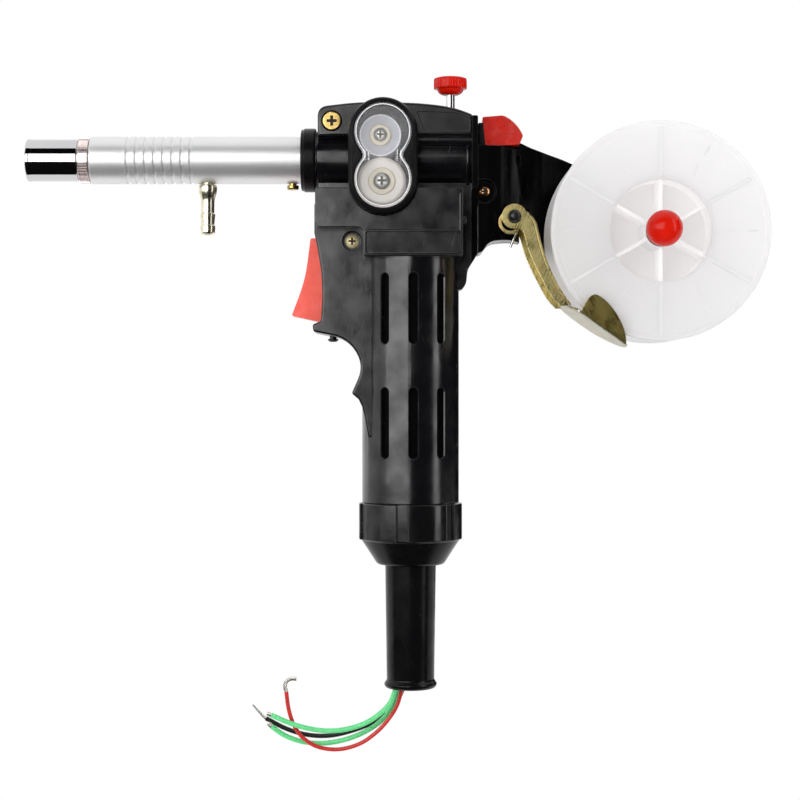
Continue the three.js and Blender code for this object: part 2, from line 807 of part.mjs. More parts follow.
function tensionKnob() {
  const lobes = 9;
  const grip = new THREE.Shape();
  for (let i = 0; i < 3 * lobes; i++) {
    const angle = (2 * Math.PI * i) / (3 * lobes);
    const r = i % 3 === 0 ? tension.knobR - 0.75 : tension.knobR;
    const point = [r * Math.cos(angle), r * Math.sin(angle)];
    if (i === 0) grip.moveTo(...point);
    else grip.lineTo(...point);
  }
  grip.closePath();
  const rim = post(grip, tension.knobLow + 2.6, tension.knobTop);
  const envelope = turned([
    [0, tension.knobLow],
    [6.1, tension.knobLow],
    [6.1, tension.knobLow + 2.6],
    [tension.knobR, tension.knobLow + 3],
    [tension.knobR, tension.knobTop - 1.6],
    [tension.knobR - 0.9, tension.knobTop - 0.6],
    [4, tension.knobTop],
    [0, tension.knobTop],
  ], 'z', [0, 0, 0], 27);
  const hub = rod(6.1, tension.knobLow, tension.knobLow + 2.7, 'z', [0, 0, 0], 18);
  const knob = join(rim, hub).intersect(envelope);
  const bored = cut(knob, rod(2.4, tension.knobLow - 1, 136, 'z', [0, 0, 0], 10));
  return solidOf(geometryOf(bored).translate(tension.x, 0, 0));
}

const tensionSpring = () => coil({
  r: 2.9, wireR: 0.35, turns: 4, from: 110.8, to: 118.2, axis: 'z', at: [tension.x, 0, 0],
});

// ---------------------------------------------------------------- trigger

function trigger() {
  const side = outline([
    [-46.3, 65],
    [-48.2, 49.6, 3.5],
    [-50, 42.4, 3.5],
    [-55, 29.2],
    [-41.6, 26.3],
    [-38.2, 27],
    [-37.4, 44, 3],
    [-36.6, 61],
    [-38, 65],
  ]);
  return cut(
    slab(side, -5.3, 5.3, 0.9),
    rod(1.75, -10, 10, 'y', [triggerPivot.x, 0, triggerPivot.z], 12),
    rod(2.7, -38.9, -30, 'x', [0, 0, 31.5], 12),
  );
}

const triggerPin = () => rod(1.45, -9.3, 9.3, 'y', [triggerPivot.x, 0, triggerPivot.z], 12);

const triggerSpring = () => coil({
  r: 1.9, wireR: 0.3, turns: 4, from: -38.4, to: -29, axis: 'x', at: [0, 0, 31.5],
});

const microswitch = () => join(
  box(-31.8, -25.3, -3.2, 3.2, 38, 58),
  rod(1.1, -34.2, -31, 'x', [0, 0, 44], 12),
);

// ---------------------------------------------------------------- handle end

function collarNut() {
  const body = turned([
    [20.9, nut.top],
    [22.8, nut.top],
    [22.8, nut.padEnd],
    [22.4, nut.padEnd - 0.7],
    [nut.coneR + 0.4, nut.end + 0.5],
    [nut.coneR - 0.4, nut.end],
    [12.5, nut.end],
    [12.5, -83],
    [20.9, -76],
    [20.9, nut.top],
  ], 'z', [0, 0, 0], 21);
  const pads = ring(22, nut.r, nut.top - 0.3, nut.padEnd, 'z', [0, 0, 0], 28);
  const grooves = [];
  for (let i = 0; i < nut.grooves; i++) {
    const key = new THREE.BoxGeometry(3, 4, 20);
    key.translate(0, -nut.r - 0.8, (nut.top + nut.padEnd) / 2);
    key.rotateZ(THREE.MathUtils.degToRad(-5 + (360 * i) / nut.grooves));
    grooves.push(solidOf(key));
  }
  return join(body, cut(pads, ...grooves));
}

const cableBoot = () => turned([
  [boot.bore, -73.6],
  [17.5, -73.6],
  [17.5, -75.8],
  [12.1, -77.6],
  [11.9, -87],
  [boot.topR, -87.8],
  [boot.lowR, boot.bead + 0.7],
  [boot.flangeR - 0.2, boot.bead],
  [boot.flangeR, boot.bead - 0.5],
  [boot.flangeR, boot.end + 0.6],
  [boot.flangeR - 0.6, boot.end],
  [boot.bore + 0.8, boot.end],
  [boot.bore, boot.end + 0.8],
  [boot.bore, -73.6],
], 'z', [0, 0, 0], 18);

// ---------------------------------------------------------------- spool

// One moulded half: a flange with its rim and ribs, half of the hub, spokes and core.
function spoolHalf(outerY, innerY) {
  const out = Math.sign(outerY - innerY);
  const inside = outerY - out * flange;
  const at = [spool.x, 0, spool.z];
  const rimFace = outerY;
  const face = outerY - out * 0.5;
  const body = turned([
    [spool.openR, face],
    [spool.r - 2.2, face],
    [spool.r - 1.8, rimFace],
    [spool.r, rimFace],
    [spool.r, inside],
    [spool.hubR, inside],
    [spool.hubR, innerY],
    [spool.openR, innerY],
    [spool.openR, face],
  ], 'y', at, 36);
  const core = ring(spindleR + 0.4, spool.coreR, outerY - out * 0.6, innerY, 'y', at, 12);
  const floor = ring(spool.coreR - 0.5, spool.openR + 0.5, hubFloor.front, hubFloor.back, 'y', at, 36);
  const spokes = [];
  for (let i = 0; i < 6; i++) {
    const turn = (Math.PI * i) / 3;
    const low = Math.min(outerY - out * 2, innerY);
    const high = Math.max(outerY - out * 2, innerY);
    spokes.push(radialPlate(turn, spool.coreR - 0.5, spool.openR + 0.5, 1.1, low, high));
    const ribs = [face + out * 0.35, face - out * 0.5].sort((a, b) => a - b);
    spokes.push(radialPlate(turn, spool.openR + 1.4, spool.r - 3.5, 0.9, ...ribs));
  }
  return join(body, core, ...spokes, ...(out > 0 ? [floor] : []));
}

// A thin plate that stands on the spool's axis line, from one radius to another.
function radialPlate(turn, from, to, half, y0, y1) {
  const plate = new THREE.BoxGeometry(2 * half, y1 - y0, to - from);
  plate.translate(0, (y0 + y1) / 2, (from + to) / 2);
  plate.rotateY(turn);
  plate.translate(spool.x, 0, spool.z);
  return solidOf(plate);
}

function spindle() {
  return turned([
    [0, -38],
    [2.6, -38],
    [3, -37.5],
    [3, -24.5],
    [spindleR, -24.5],
    [spindleR, armBack.rear + gap],
    [7, armBack.rear + gap],
    [7, armBack.rear + 3.4],
    [6.2, armBack.rear + 4],
    [0, armBack.rear + 4],
  ], 'y', [spool.x, 0, spool.z], 12);
}

function spoolNut() {
  const [tip, back, r] = [-41.6, -28.8, 8.2];
  const profile = [[0, tip]];
  for (let i = 1; i <= 6; i++) {
    const angle = (i / 6) * 1.75;
    profile.push([r * Math.sin(angle), tip + r - r * Math.cos(angle)]);
  }
  profile.push([7.2, back - 1.2], [6.8, back], [0, back]);
  return cut(
    turned(profile, 'y', [spool.x, 0, spool.z], 18),
    rod(3.3, -38.4, back + 1, 'y', [spool.x, 0, spool.z], 10),
  );
}

const spoolSpring = () => coil({
  r: 5, wireR: 0.5, turns: 3, from: -27.9, to: -25, axis: 'y', at: [spool.x, 0, spool.z],
});

const spoolWasher = () => ring(4.3, 7.6, -24.2, -23, 'y', [spool.x, 0, spool.z], 16);

// ---------------------------------------------------------------- brake lever

// Centre line of the lever's back, which follows the edge of the spool.
const leverBack = [
  [53.2, 76.6],
  [57, 72],
  [58.6, 66.5],
  [60.6, 59],
  [63.2, 51.6],
  [66.8, 44],
  [70.4, 38],
  [73.4, 34],
];

// Left edge of the cheeks, from the eye down.
const leverFront = [
  [68.4, 33.2],
  [64.4, 37.6],
  [60.4, 44.6],
  [56.4, 52.6],
  [53.4, 60],
  [51.3, 67],
  [48.2, 69.2],
];

const paddle = { from: [71.9, 34.2], to: [97.3, 16.1], front: -26, back: 24, tail: 3 };

function brakeLever() {
  const [front, back] = brakeSides;
  const strip = new THREE.Shape();
  strip.moveTo(...leverBack[0]);
  strip.splineThru(leverBack.slice(1).map((point) => new THREE.Vector2(...point)));
  const inner = leverBack.map((point, i) => offsetLeft(leverBack, i, sheet)).reverse();
  strip.lineTo(...inner[0]);
  strip.splineThru(inner.slice(1).map((point) => new THREE.Vector2(...point)));
  strip.closePath();

  const cheek = new THREE.Shape();
  cheek.moveTo(brakePivot.x, brakePivot.z + 5);
  cheek.lineTo(...inner[inner.length - 1]);
  cheek.splineThru([...inner].reverse().slice(1).map((point) => new THREE.Vector2(...point)));
  cheek.lineTo(...leverFront[0]);
  cheek.splineThru(leverFront.slice(1).map((point) => new THREE.Vector2(...point)));
  cheek.closePath();

  const eye = [brakePivot.x, 0, brakePivot.z];
  const cheeks = [[front, front + sheet], [back - sheet, back]].map(([low, high]) => cut(
    join(slab(cheek, low, high, 0, 1), rod(5.8, low, high, 'y', eye, 18)),
    rod(brakePivot.pinR + gap, low - 1, high + 1, 'y', eye, 12),
  ));
  return join(slab(strip, front, back, 0, 1), ...cheeks, thumbPlate(), thumbTab());
}

// The point of a route moved to the left of its direction of travel.
function offsetLeft(route, i, distance) {
  const before = route[Math.max(i - 1, 0)];
  const after = route[Math.min(i + 1, route.length - 1)];
  const [dx, dz] = [after[0] - before[0], after[1] - before[1]];
  const length = Math.hypot(dx, dz);
  return [route[i][0] + (dz / length) * distance, route[i][1] - (dx / length) * distance];
}

// The flat under the spool: straight in front, with a round rear edge.
function thumbPlate() {
  const [x0, z0] = paddle.from;
  const [dx, dz] = [paddle.to[0] - x0, paddle.to[1] - z0];
  const length = Math.hypot(dx, dz);
  const plan = new THREE.Shape();
  plan.moveTo(-1.4, brakeSides[0]);
  plan.lineTo(2.5, brakeSides[0]);
  plan.quadraticCurveTo(3.4, paddle.front, 6, paddle.front);
  plan.lineTo(length - 1, paddle.front);
  plan.bezierCurveTo(length + 5, paddle.front + 4, length + 1, 8, length * 0.62, paddle.back - 2);
  plan.bezierCurveTo(length * 0.4, paddle.back + 2, 0, paddle.back, -1.4, brakeSides[1]);
  plan.closePath();
  const plate = new THREE.ExtrudeGeometry(plan, { depth: sheet, bevelEnabled: false, curveSegments: 6 });
  plate.translate(0, 0, -sheet);
  plate.rotateY(-Math.atan2(dz, dx));
  plate.translate(x0, 0, z0);
  return solidOf(plate);
}

function thumbTab() {
  const [dx, dz] = [paddle.to[0] - paddle.from[0], paddle.to[1] - paddle.from[1]];
  const along = (share) => [paddle.from[0] + dx * share, paddle.from[1] + dz * share];
  const tab = new THREE.Shape();
  const [start, end] = [along(0.2), along(1)];
  tab.moveTo(start[0] - 0.5, start[1] - 0.8);
  tab.lineTo(...start);
  tab.bezierCurveTo(79.4, 35.6, 81, 38, 83.6, 37.9);
  tab.bezierCurveTo(88.4, 36.6, 95.4, 27.4, 97, 19.6);
  tab.lineTo(...end);
  tab.lineTo(end[0] - 0.5, end[1] - 0.8);
  tab.closePath();
  return slab(tab, paddle.front, paddle.front + sheet, 0, 5);
}

function brakePin() {
  return turned([
    [0, -19.4],
    [1.6, -19],
    [2.9, -17.6],
    [2.9, 13.4],
    [0, 13.4],
  ], 'y', [brakePivot.x, 0, brakePivot.z], 12);
}

// Torsion spring round the pin: one leg points down in the open, the other bears on the lever.
function brakeSpring() {
  const points = [];
  const [r, turns, perTurn] = [4.1, 4, 8];
  points.push([46, -7.4, 60.6], [47.4, -7.5, 64.2], [49.6, -7.6, 69.2]);
  for (let i = 0; i <= turns * perTurn; i++) {
    const angle = (2 * Math.PI * i) / perTurn - 0.5;
    const y = -7.8 - (4.6 * i) / (turns * perTurn);
    points.push([brakePivot.x + r * Math.cos(angle), y, brakePivot.z + r * Math.sin(angle)]);
  }
  points.push([53.6, -12.6, 69.6], [56.2, -12.7, 65]);
  return wire(points, 0.55, 40, 4);
}

// ---------------------------------------------------------------- screws

// A countersunk or pan screw that goes in from the window side, with a cross recess.
function sideScrew([x, z], headY, headR, headHeight, shankEnd, countersunk) {
  const under = headY + headHeight;
  const profile = countersunk
    ? [[0, headY], [headR, headY], [headR, headY + 0.4], [1.6, under], [1.6, shankEnd], [0, shankEnd]]
    : [[0, headY], [0.6 * headR, headY + 0.1], [headR, headY + 0.9], [headR, under], [1.6, under],
      [1.6, shankEnd], [0, shankEnd]];
  const arm = headR * 0.55;
  return cut(
    turned(profile, 'y', [x, 0, z], 12),
    box(x - arm, x + arm, headY - 1, headY + 1, z - 0.45, z + 0.45),
    box(x - 0.45, x + 0.45, headY - 1, headY + 1, z - arm, z + arm),
  );
}

const guardScrew = () => turned(
  [[0, 17.2], [1.6, 17.2], [2.5, 18], [2.5, 18.6], [1.6, 18.6], [1.6, 23.6], [0, 23.6]],
  'z', [-36, 0, 0], 10,
);

// ---------------------------------------------------------------- leads

const leads = {
  lead_green_long: {
    r: 1.15,
    points: [
      [-6.2, -2.6, -137], [-6.9, -2.8, -144], [-9.4, -3.2, -150], [-13.6, -3.4, -154.6],
      [-20.6, -3.5, -159.3], [-29.2, -3.5, -162.2], [-38.6, -3.4, -163.1], [-47.4, -3.2, -162],
      [-55.4, -3, -159.8], [-64.6, -2.8, -155.9],
    ],
  },
  lead_green_short: {
    r: 1.15,
    points: [
      [-5.2, 2.2, -137], [-5.9, 2.2, -144], [-8, 2.3, -151.4], [-12.4, 2.4, -158.2],
      [-19.6, 2.5, -163.4], [-29, 2.6, -166.9], [-39.4, 2.7, -168.2], [-49.6, 2.6, -166.9],
      [-58, 2.4, -164.2], [-64.8, 2.2, -161.6],
    ],
  },
  lead_red: {
    r: 0.95,
    points: [
      [-3.4, -0.6, -137], [-4, -0.6, -144], [-6.2, -0.6, -151.6], [-10.4, -0.6, -158.4],
      [-16, -0.6, -164.4], [-23.6, -0.6, -169.6], [-33.2, -0.6, -172.2], [-42.6, -0.6, -171.2],
      [-49.6, -0.6, -167.2], [-54, -0.6, -161.4], [-56.6, -0.6, -153.8], [-57.8, -0.6, -145.4],
    ],
  },
  lead_black: {
    r: 1.1,
    points: [
      [-2.4, 4.8, -137], [-3, 4.8, -144], [-5.6, 5, -152.6], [-11, 5.2, -160.2],
      [-19.4, 5.4, -165.6], [-29.6, 5.6, -168.4], [-40.6, 5.7, -168.2], [-51, 5.7, -165],
      [-60, 5.6, -160.8], [-67.6, 5.4, -157],
    ],
  },
};

function lead({ r, points }) {
  const route = new THREE.CatmullRomCurve3(points.map((point) => new THREE.Vector3(...point)));
  return wire(points, r, Math.ceil(route.getLength() / (5 * r)));
}

// ---------------------------------------------------------------- assembly

const { left, right } = shells();
const splitY = (spool.front + spool.back) / 2;

add('body_shell_left', left, black);
add('body_shell_right', right, black);
add('spool_arm', spoolArm(), black);
add('gear_cover', gearCover(), black);
add('window', windowPane(), clear);
add('front_collar', frontCollar(), black);
add('barrel_sleeve', sleeve(), satin);
add('barrel_bush', barrelBush(), dark);
add('conductor_tube', conductorTube(), brass);
add('gas_diffuser', diffuser(), brass);
add('contact_tip', contactTip(), copper);
add('lock_ring', lockRing(), steel);
add('nozzle', nozzle(), chrome);
add('gas_nipple', hoseBarb(), brass);
add('set_screw', setScrew(), brass);
add('outlet_guide', outletGuide(), steel);
add('inlet_guide', inletGuide(), steel);

add('drive_roller', feedRoller(drive, 3), milky);
add('drive_axle', driveAxle(), steel);
add('drive_gear', driveGear(), dark);
add('drive_washer', ring(1.6, 6.2, -18.4, -17.8, 'y', [drive.x, 0, drive.z], 14), cream);
add('drive_screw', panScrew(3.8, -20.8, [drive.x, drive.z], 1.2, -12), steel);
add('idler_gear', idlerGear(), dark);
add('idler_axle', idlerAxle(), steel);
add('motor_pinion', motorPinion(), steel);
add('motor_shaft', motorShaft(), steel);
add('gear_motor', gearMotor(), steel);

add('pressure_arm', pressureArm(), dark);
add('pressure_arm_pin', rod(armPin.r, -9.3, 9.3, 'y', [armPin.x, 0, armPin.z], 10), steel);
add('pressure_axle', pressAxle(), steel);
add('pressure_roller', feedRoller(press, 2.4), milky);
add('pressure_bush', ring(1.6, 5, -18.4, -17.8, 'y', [press.x, 0, press.z], 14), cream);
add('pressure_screw', panScrew(3, -20.8, [press.x, press.z], 1.1, -12), steel);
add('release_lever', releaseLever(), red);
add('tension_screw', tensionScrew(), steel);
add('tension_knob', tensionKnob(), red);
add('tension_spring', tensionSpring(), steel);

add('trigger', trigger(), salmon);
add('trigger_pin', triggerPin(), steel);
add('trigger_spring', triggerSpring(), steel);
add('microswitch', microswitch(), dark);

add('collar_nut', collarNut(), black);
add('cable_boot', cableBoot(), dark);

add('spool_half_left', spoolHalf(spool.front, splitY - splitHalf), milky);
add('spool_half_right', spoolHalf(spool.back, splitY + splitHalf), milky);
add('spindle', spindle(), steel);
add('spool_washer', spoolWasher(), steel);
add('spool_spring', spoolSpring(), steel);
add('spool_nut', spoolNut(), red);

add('brake_lever', brakeLever(), zinc);
add('brake_pin', brakePin(), black);
add('brake_spring', brakeSpring(), steel);

add('shell_screw_head', sideScrew([-36.1, 117.8], -15.9, 4.2, 2.1, 8.6, true), brass);
add('shell_screw_web', sideScrew([-26.9, 63.1], -12.2, 3.2, 1.6, 8.6, false), brass);
add('shell_screw_arm', sideScrew([33.9, 86.1], -10.6, 2.9, 1.7, 8.6, false), copper);
add('guard_screw', guardScrew(), black);

for (const [name, shape] of Object.entries(leads)) {
  const colour = name.includes('green') ? 0x2fae6a : name.includes('red') ? 0xc8232a : 0x202022;
  add(name, lead(shape), { color: colour, roughness: 0.45, metalness: 0 });
}

export default torch;
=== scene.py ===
# Looks for a spool-fed mig welding torch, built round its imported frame.
# Shapes are drawn in millimetres and scaled to metres by make_piece. The camera, the lights
# and the routes of the leads are in metres.
import math

import bmesh
import bpy
from mathutils import Matrix, Vector


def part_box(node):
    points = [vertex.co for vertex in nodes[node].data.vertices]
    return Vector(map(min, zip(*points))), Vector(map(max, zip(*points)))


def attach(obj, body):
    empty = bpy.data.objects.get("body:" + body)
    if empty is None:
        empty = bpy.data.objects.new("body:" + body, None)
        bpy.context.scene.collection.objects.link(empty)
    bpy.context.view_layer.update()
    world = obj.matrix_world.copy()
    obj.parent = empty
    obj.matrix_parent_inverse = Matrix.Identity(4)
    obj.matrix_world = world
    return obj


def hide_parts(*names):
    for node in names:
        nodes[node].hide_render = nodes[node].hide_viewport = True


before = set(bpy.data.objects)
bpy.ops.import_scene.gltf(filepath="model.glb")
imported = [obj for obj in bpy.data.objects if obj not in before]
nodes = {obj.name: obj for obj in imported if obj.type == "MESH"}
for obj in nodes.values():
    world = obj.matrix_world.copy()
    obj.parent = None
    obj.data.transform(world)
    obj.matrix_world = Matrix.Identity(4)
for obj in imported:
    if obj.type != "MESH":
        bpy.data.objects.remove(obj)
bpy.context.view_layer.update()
MM = 0.001

# ---------------------------------------------------------------- camera, floor and lights


def new_object(name, data):
    made = bpy.data.objects.new(name, data)
    bpy.context.scene.collection.objects.link(made)
    return made


def set_camera():
    data = bpy.data.cameras.new("studio_camera")
    data.lens = 84.15
    data.sensor_width = 36
    data.clip_start = 0.01
    data.clip_end = 60
    camera = new_object("studio_camera", data)
    camera.location = (-0.0049, -0.87, -0.0098)
    camera.rotation_euler = (math.radians(90), 0, 0)
    bpy.context.scene.camera = camera


def join(tree, source, socket):
    """Feeds an input from a socket, from a node's first output or with a plain value."""
    if isinstance(source, bpy.types.Node):
        source = source.outputs[0]
    if isinstance(source, bpy.types.NodeSocket):
        tree.links.new(source, socket)
    else:
        socket.default_value = source


def add_node(tree, kind, feeds=None, **settings):
    node = tree.nodes.new(kind)
    for key, value in settings.items():
        setattr(node, key, value)
    for socket, source in (feeds or {}).items():
        join(tree, source, node.inputs[socket])
    return node


def maths(tree, operation, *values):
    """The outcome of a sum on numbers or sockets."""
    return add_node(tree, "ShaderNodeMath", dict(enumerate(values)), operation=operation)


def mixed_shader(tree, share, first, second):
    return add_node(tree, "ShaderNodeMixShader", {0: share, 1: first, 2: second})


def bare_tree(owner):
    """The emptied node tree of a material or a world."""
    owner.use_nodes = True
    owner.node_tree.nodes.clear()
    return owner.node_tree


def seen_directly(tree):
    """1 for rays from the camera, off a mirror finish or through glass, and 0 for lighting."""
    path = add_node(tree, "ShaderNodeLightPath").outputs
    either = maths(tree, "MAXIMUM", path["Is Camera Ray"], path["Is Glossy Ray"])
    return maths(tree, "MAXIMUM", either, path["Is Transmission Ray"])


def set_world():
    world = bpy.data.worlds.new("studio_surround")
    bpy.context.scene.world = world
    tree = bare_tree(world)
    lighting = add_node(tree, "ShaderNodeBackground", {"Color": (1, 1, 1, 1), "Strength": 0.4})
    backdrop = add_node(tree, "ShaderNodeBackground", {"Color": (1, 1, 1, 1), "Strength": 1.0})
    choice = mixed_shader(tree, seen_directly(tree), lighting, backdrop)
    add_node(tree, "ShaderNodeOutputWorld", {"Surface": choice})


def lay_floor():
    """A pale floor: white far off, and lit and shadowed round the torch."""
    height, lit_within, white_beyond, least_white = -0.3, 0.22, 0.44, 0.55
    bpy.ops.mesh.primitive_plane_add(size=16, location=(0, 0, height))
    floor = bpy.context.object
    floor.name = "pale_floor"
    paint = bpy.data.materials.new("pale_floor")
    tree = bare_tree(paint)
    place = add_node(tree, "ShaderNodeTexCoord").outputs["Object"]
    distance = add_node(tree, "ShaderNodeVectorMath", {0: place}, operation="LENGTH")
    far = add_node(tree, "ShaderNodeMapRange", {"Value": distance.outputs["Value"], "From Min": lit_within,
                   "From Max": white_beyond, "To Min": least_white, "To Max": 1.0})
    share = maths(tree, "MULTIPLY", far, seen_directly(tree))
    lit = add_node(tree, "ShaderNodeBsdfDiffuse", {"Color": (0.9, 0.9, 0.9, 1)})
    white = add_node(tree, "ShaderNodeEmission", {"Color": (1, 1, 1, 1), "Strength": 1.0})
    mixed = mixed_shader(tree, share, lit, white)
    add_node(tree, "ShaderNodeOutputMaterial", {"Surface": mixed})
    floor.data.materials.append(paint)


def hang_lamp(name, place, aim, size, watts):
    data = bpy.data.lights.new(name, "AREA")
    data.shape = "RECTANGLE"
    data.size, data.size_y = size
    data.energy = watts
    lamp = new_object(name, data)
    lamp.location = place
    lamp.rotation_euler = (Vector(aim) - Vector(place)).to_track_quat("-Z", "Y").to_euler()
    return lamp


def hang_flag(name, start, end, upright=True):
    """A black flag between two corners that only mirror finishes see, to shape their bands."""
    (x0, y0, z0), (x1, y1, z1) = start, end
    second, fourth = ((x1, y1, z0), (x0, y0, z1)) if upright else ((x1, y0, z0), (x0, y1, z1))
    mesh = bpy.data.meshes.new(name)
    mesh.from_pydata([start, second, end, fourth], [], [range(4)])
    flag = new_object(name, mesh)
    paint = bpy.data.materials.new(name)
    paint.use_nodes = True
    shader = paint.node_tree.nodes["Principled BSDF"]
    shader.inputs["Base Color"].default_value = (0.004, 0.004, 0.004, 1)
    shader.inputs["Specular IOR Level"].default_value = 0
    mesh.materials.append(paint)
    for rays in ("camera", "diffuse", "transmission", "shadow"):
        setattr(flag, "visible_" + rays, False)


def hang_softbox(name, low, high, radiance):
    """An upright softbox between two corners, which faces the torch squarely from the front."""
    centre = [(a + b) / 2 for a, b in zip(low, high)]
    size = (high[0] - low[0], high[2] - low[2])
    return hang_lamp(name, centre, (centre[0], 0, centre[2]), size, radiance * math.pi * size[0] * size[1])


def set_lights():
    hang_softbox("key_softbox", (-1.7, -0.95, -0.12), (-0.066, -0.95, 0.64), 3.2)
    hang_softbox("upper_softbox", (-0.05, -1.15, 0.25), (0.12, -1.15, 0.42), 0.7)
    hang_lamp("right_strip", (0.95, -0.5, 0.25), (0, 0, 0), (0.26, 1.3), 2.6)
    for name, place, aim, size, watts in (
            ("left_strip", (-1.2, 0.25, 0.3), (0, 0, 0), (0.4, 1.2), 3),
            ("top_softbox", (0.1, 0.3, 1.3), (0, 0, 0), (2.2, 1.4), 8),
            ("rear_softbox", (0.2, 1.5, 0.6), (0, 0, 0), (2.0, 1.4), 9),
            ("fill_softbox", (1.0, -0.9, 0.3), (0.1, 0, 0.05), (0.9, 0.9), 3.4)):
        hang_lamp(name, place, aim, size, watts).visible_glossy = False
    hang_flag("upper_flag", (-3, -1.7, 1.5), (3, -0.95, 2.0), upright=False)
    hang_flag("lower_flag", (-2, -1.7, -0.27), (2, 0, -0.27), upright=False)
    hang_flag("right_flag", (2.4, -1.7, -1), (2.4, 1.6, 1.5))
    hang_flag("rear_flag", (0.5, 1.6, -1), (2.4, 1.6, 0.6))
    hang_flag("left_flag", (-2.6, -0.9, -1), (-2.6, 1.6, -0.2))
    hang_flag("camera_flag", (-3, -1.7, -0.3), (2.7, -1.7, 1.5))


set_camera()

# ---------------------------------------------------------------- finishes


class Finish:
    """A procedural surface whose patterns read Object coordinates in metres."""

    def __init__(self, name, colour, roughness, metallic=0.0, **sockets):
        self.material = bpy.data.materials.new(name)
        self.material.use_nodes = True
        self.tree = self.material.node_tree
        self.shader = self.tree.nodes["Principled BSDF"]
        self.place = self.add("ShaderNodeTexCoord").outputs["Object"]
        self.feed("Base Color", (*colour, 1.0))
        self.feed("Roughness", roughness)
        self.feed("Metallic", metallic)
        for socket, value in sockets.items():
            self.feed(socket.replace("_", " ").title().replace("Ior", "IOR"), value)
        self.colour = colour
        self.height = None

    def add(self, kind, feeds=None, **settings):
        return add_node(self.tree, kind, feeds, **settings)

    def feed(self, socket, source):
        join(self.tree, source, self.shader.inputs[socket])

    def noise(self, size, detail=3.0, stretch=(1, 1, 1), rough=0.5):
        """Noise whose blotches are `size` mm across, drawn out by `stretch`."""
        scale = [1 / (size * MM * s) for s in stretch]
        spread = self.add("ShaderNodeMapping", {"Vector": self.place, "Scale": scale})
        return self.add("ShaderNodeTexNoise", {"Vector": spread, "Scale": 1.0,
                        "Detail": detail, "Roughness": rough}).outputs["Fac"]

    def between(self, factor, low, high, start=0.3, end=0.7):
        """A number that runs from `low` to `high` as the factor goes from start to end."""
        return self.add("ShaderNodeMapRange", {"Value": factor, "From Min": start, "From Max": end,
                        "To Min": low, "To Max": high})

    def tint(self, factor, other, base=None):
        """Mixes the base colour towards another by a factor."""
        source = base if base is not None else (*self.colour, 1.0)
        mix = self.add("ShaderNodeMix", {"Factor": factor, 6: source, 7: (*other, 1.0)}, data_type="RGBA")
        self.feed("Base Color", mix.outputs[2])
        return mix.outputs[2]

    def relief(self, height, depth, strength=1.0):
        """Adds bump of `depth` mm from a 0 to 1 height; several calls build up."""
        feeds = {"Height": height, "Distance": depth * MM, "Strength": strength}
        if self.height is not None:
            feeds["Normal"] = self.height
        self.height = self.add("ShaderNodeBump", feeds)
        self.feed("Normal", self.height)

    def maths(self, operation, *values):
        return maths(self.tree, operation, *values)

    def product(self, a, b):
        return self.maths("MULTIPLY", a, b)

    def turned(self, degrees):
        """The place, turned about the Y axis."""
        lean = {"Vector": self.place, "Rotation": (0, math.radians(degrees), 0)}
        return self.add("ShaderNodeMapping", lean)

    def show(self, surface):
        """Makes a mixed shader the visible one."""
        join(self.tree, surface, self.tree.nodes["Material Output"].inputs["Surface"])

    def worn_and_highlit_edges(self, reach=0.35):
        """0 on flats and towards 1 along edges."""
        soft = self.add("ShaderNodeBevel", {"Radius": reach * MM}, samples=4)
        hard = self.add("ShaderNodeNewGeometry")
        turn = self.add("ShaderNodeVectorMath", {0: soft, 1: hard.outputs["Normal"]},
                        operation="DOT_PRODUCT")
        return self.between(turn.outputs["Value"], 1.0, 0.0, 0.93, 0.995)


def scratches(skin):
    """Fine hair scratches that lean two ways and come in patches."""
    marks = 0.0
    for lean, length in ((24, 70), (-17, 45)):
        drawn = skin.add("ShaderNodeMapping", {"Vector": skin.turned(lean),
                         "Scale": (1 / (0.35 * MM), 1 / (2 * MM), 1 / (length * 0.35 * MM))})
        streaks = {"Vector": drawn, "Scale": 1.0, "Detail": 0.0}
        fine = skin.add("ShaderNodeTexNoise", streaks).outputs["Fac"]
        marks = skin.maths("MAXIMUM", skin.between(fine, 0.0, 1.0, 0.77, 0.9), marks)
    return skin.product(marks, skin.between(skin.noise(18, 2), 0.0, 0.8, 0.5, 0.66))


def moulded(name, colour, roughness, grain=0.03, rubbed_and_sheen=(0.09, 0.088, 0.094), **sockets):
    """Spark-eroded moulded plastic: fine grain, cloudy gloss, paler edges that are partly rubbed wear and
    partly painted highlight, and hair scratches.
    """
    skin = Finish(name, colour, roughness, **sockets)
    cloud = skin.between(skin.noise(9, 4), roughness - 0.03, roughness + 0.1)
    gloss = sockets.get("specular_ior_level", 0.5)
    skin.feed("Specular IOR Level", skin.between(skin.noise(13, 4), 0.6 * gloss, 1.3 * gloss))
    hair = scratches(skin)
    skin.feed("Roughness", skin.maths("MULTIPLY_ADD", hair, 0.2, cloud))
    # Paler edges: partly rubbed wear, partly painted highlight.
    edge = skin.product(skin.worn_and_highlit_edges(), skin.between(skin.noise(2.5, 3), 0.1, 0.6))
    skin.tint(skin.maths("MAXIMUM", edge, skin.product(hair, 0.5)), rubbed_and_sheen)
    skin.relief(skin.noise(0.55, 2), grain, 0.3)
    skin.relief(skin.noise(7, 3), 0.1, 0.35)
    skin.relief(skin.noise(22, 2), 0.5, 0.3)
    return skin.material


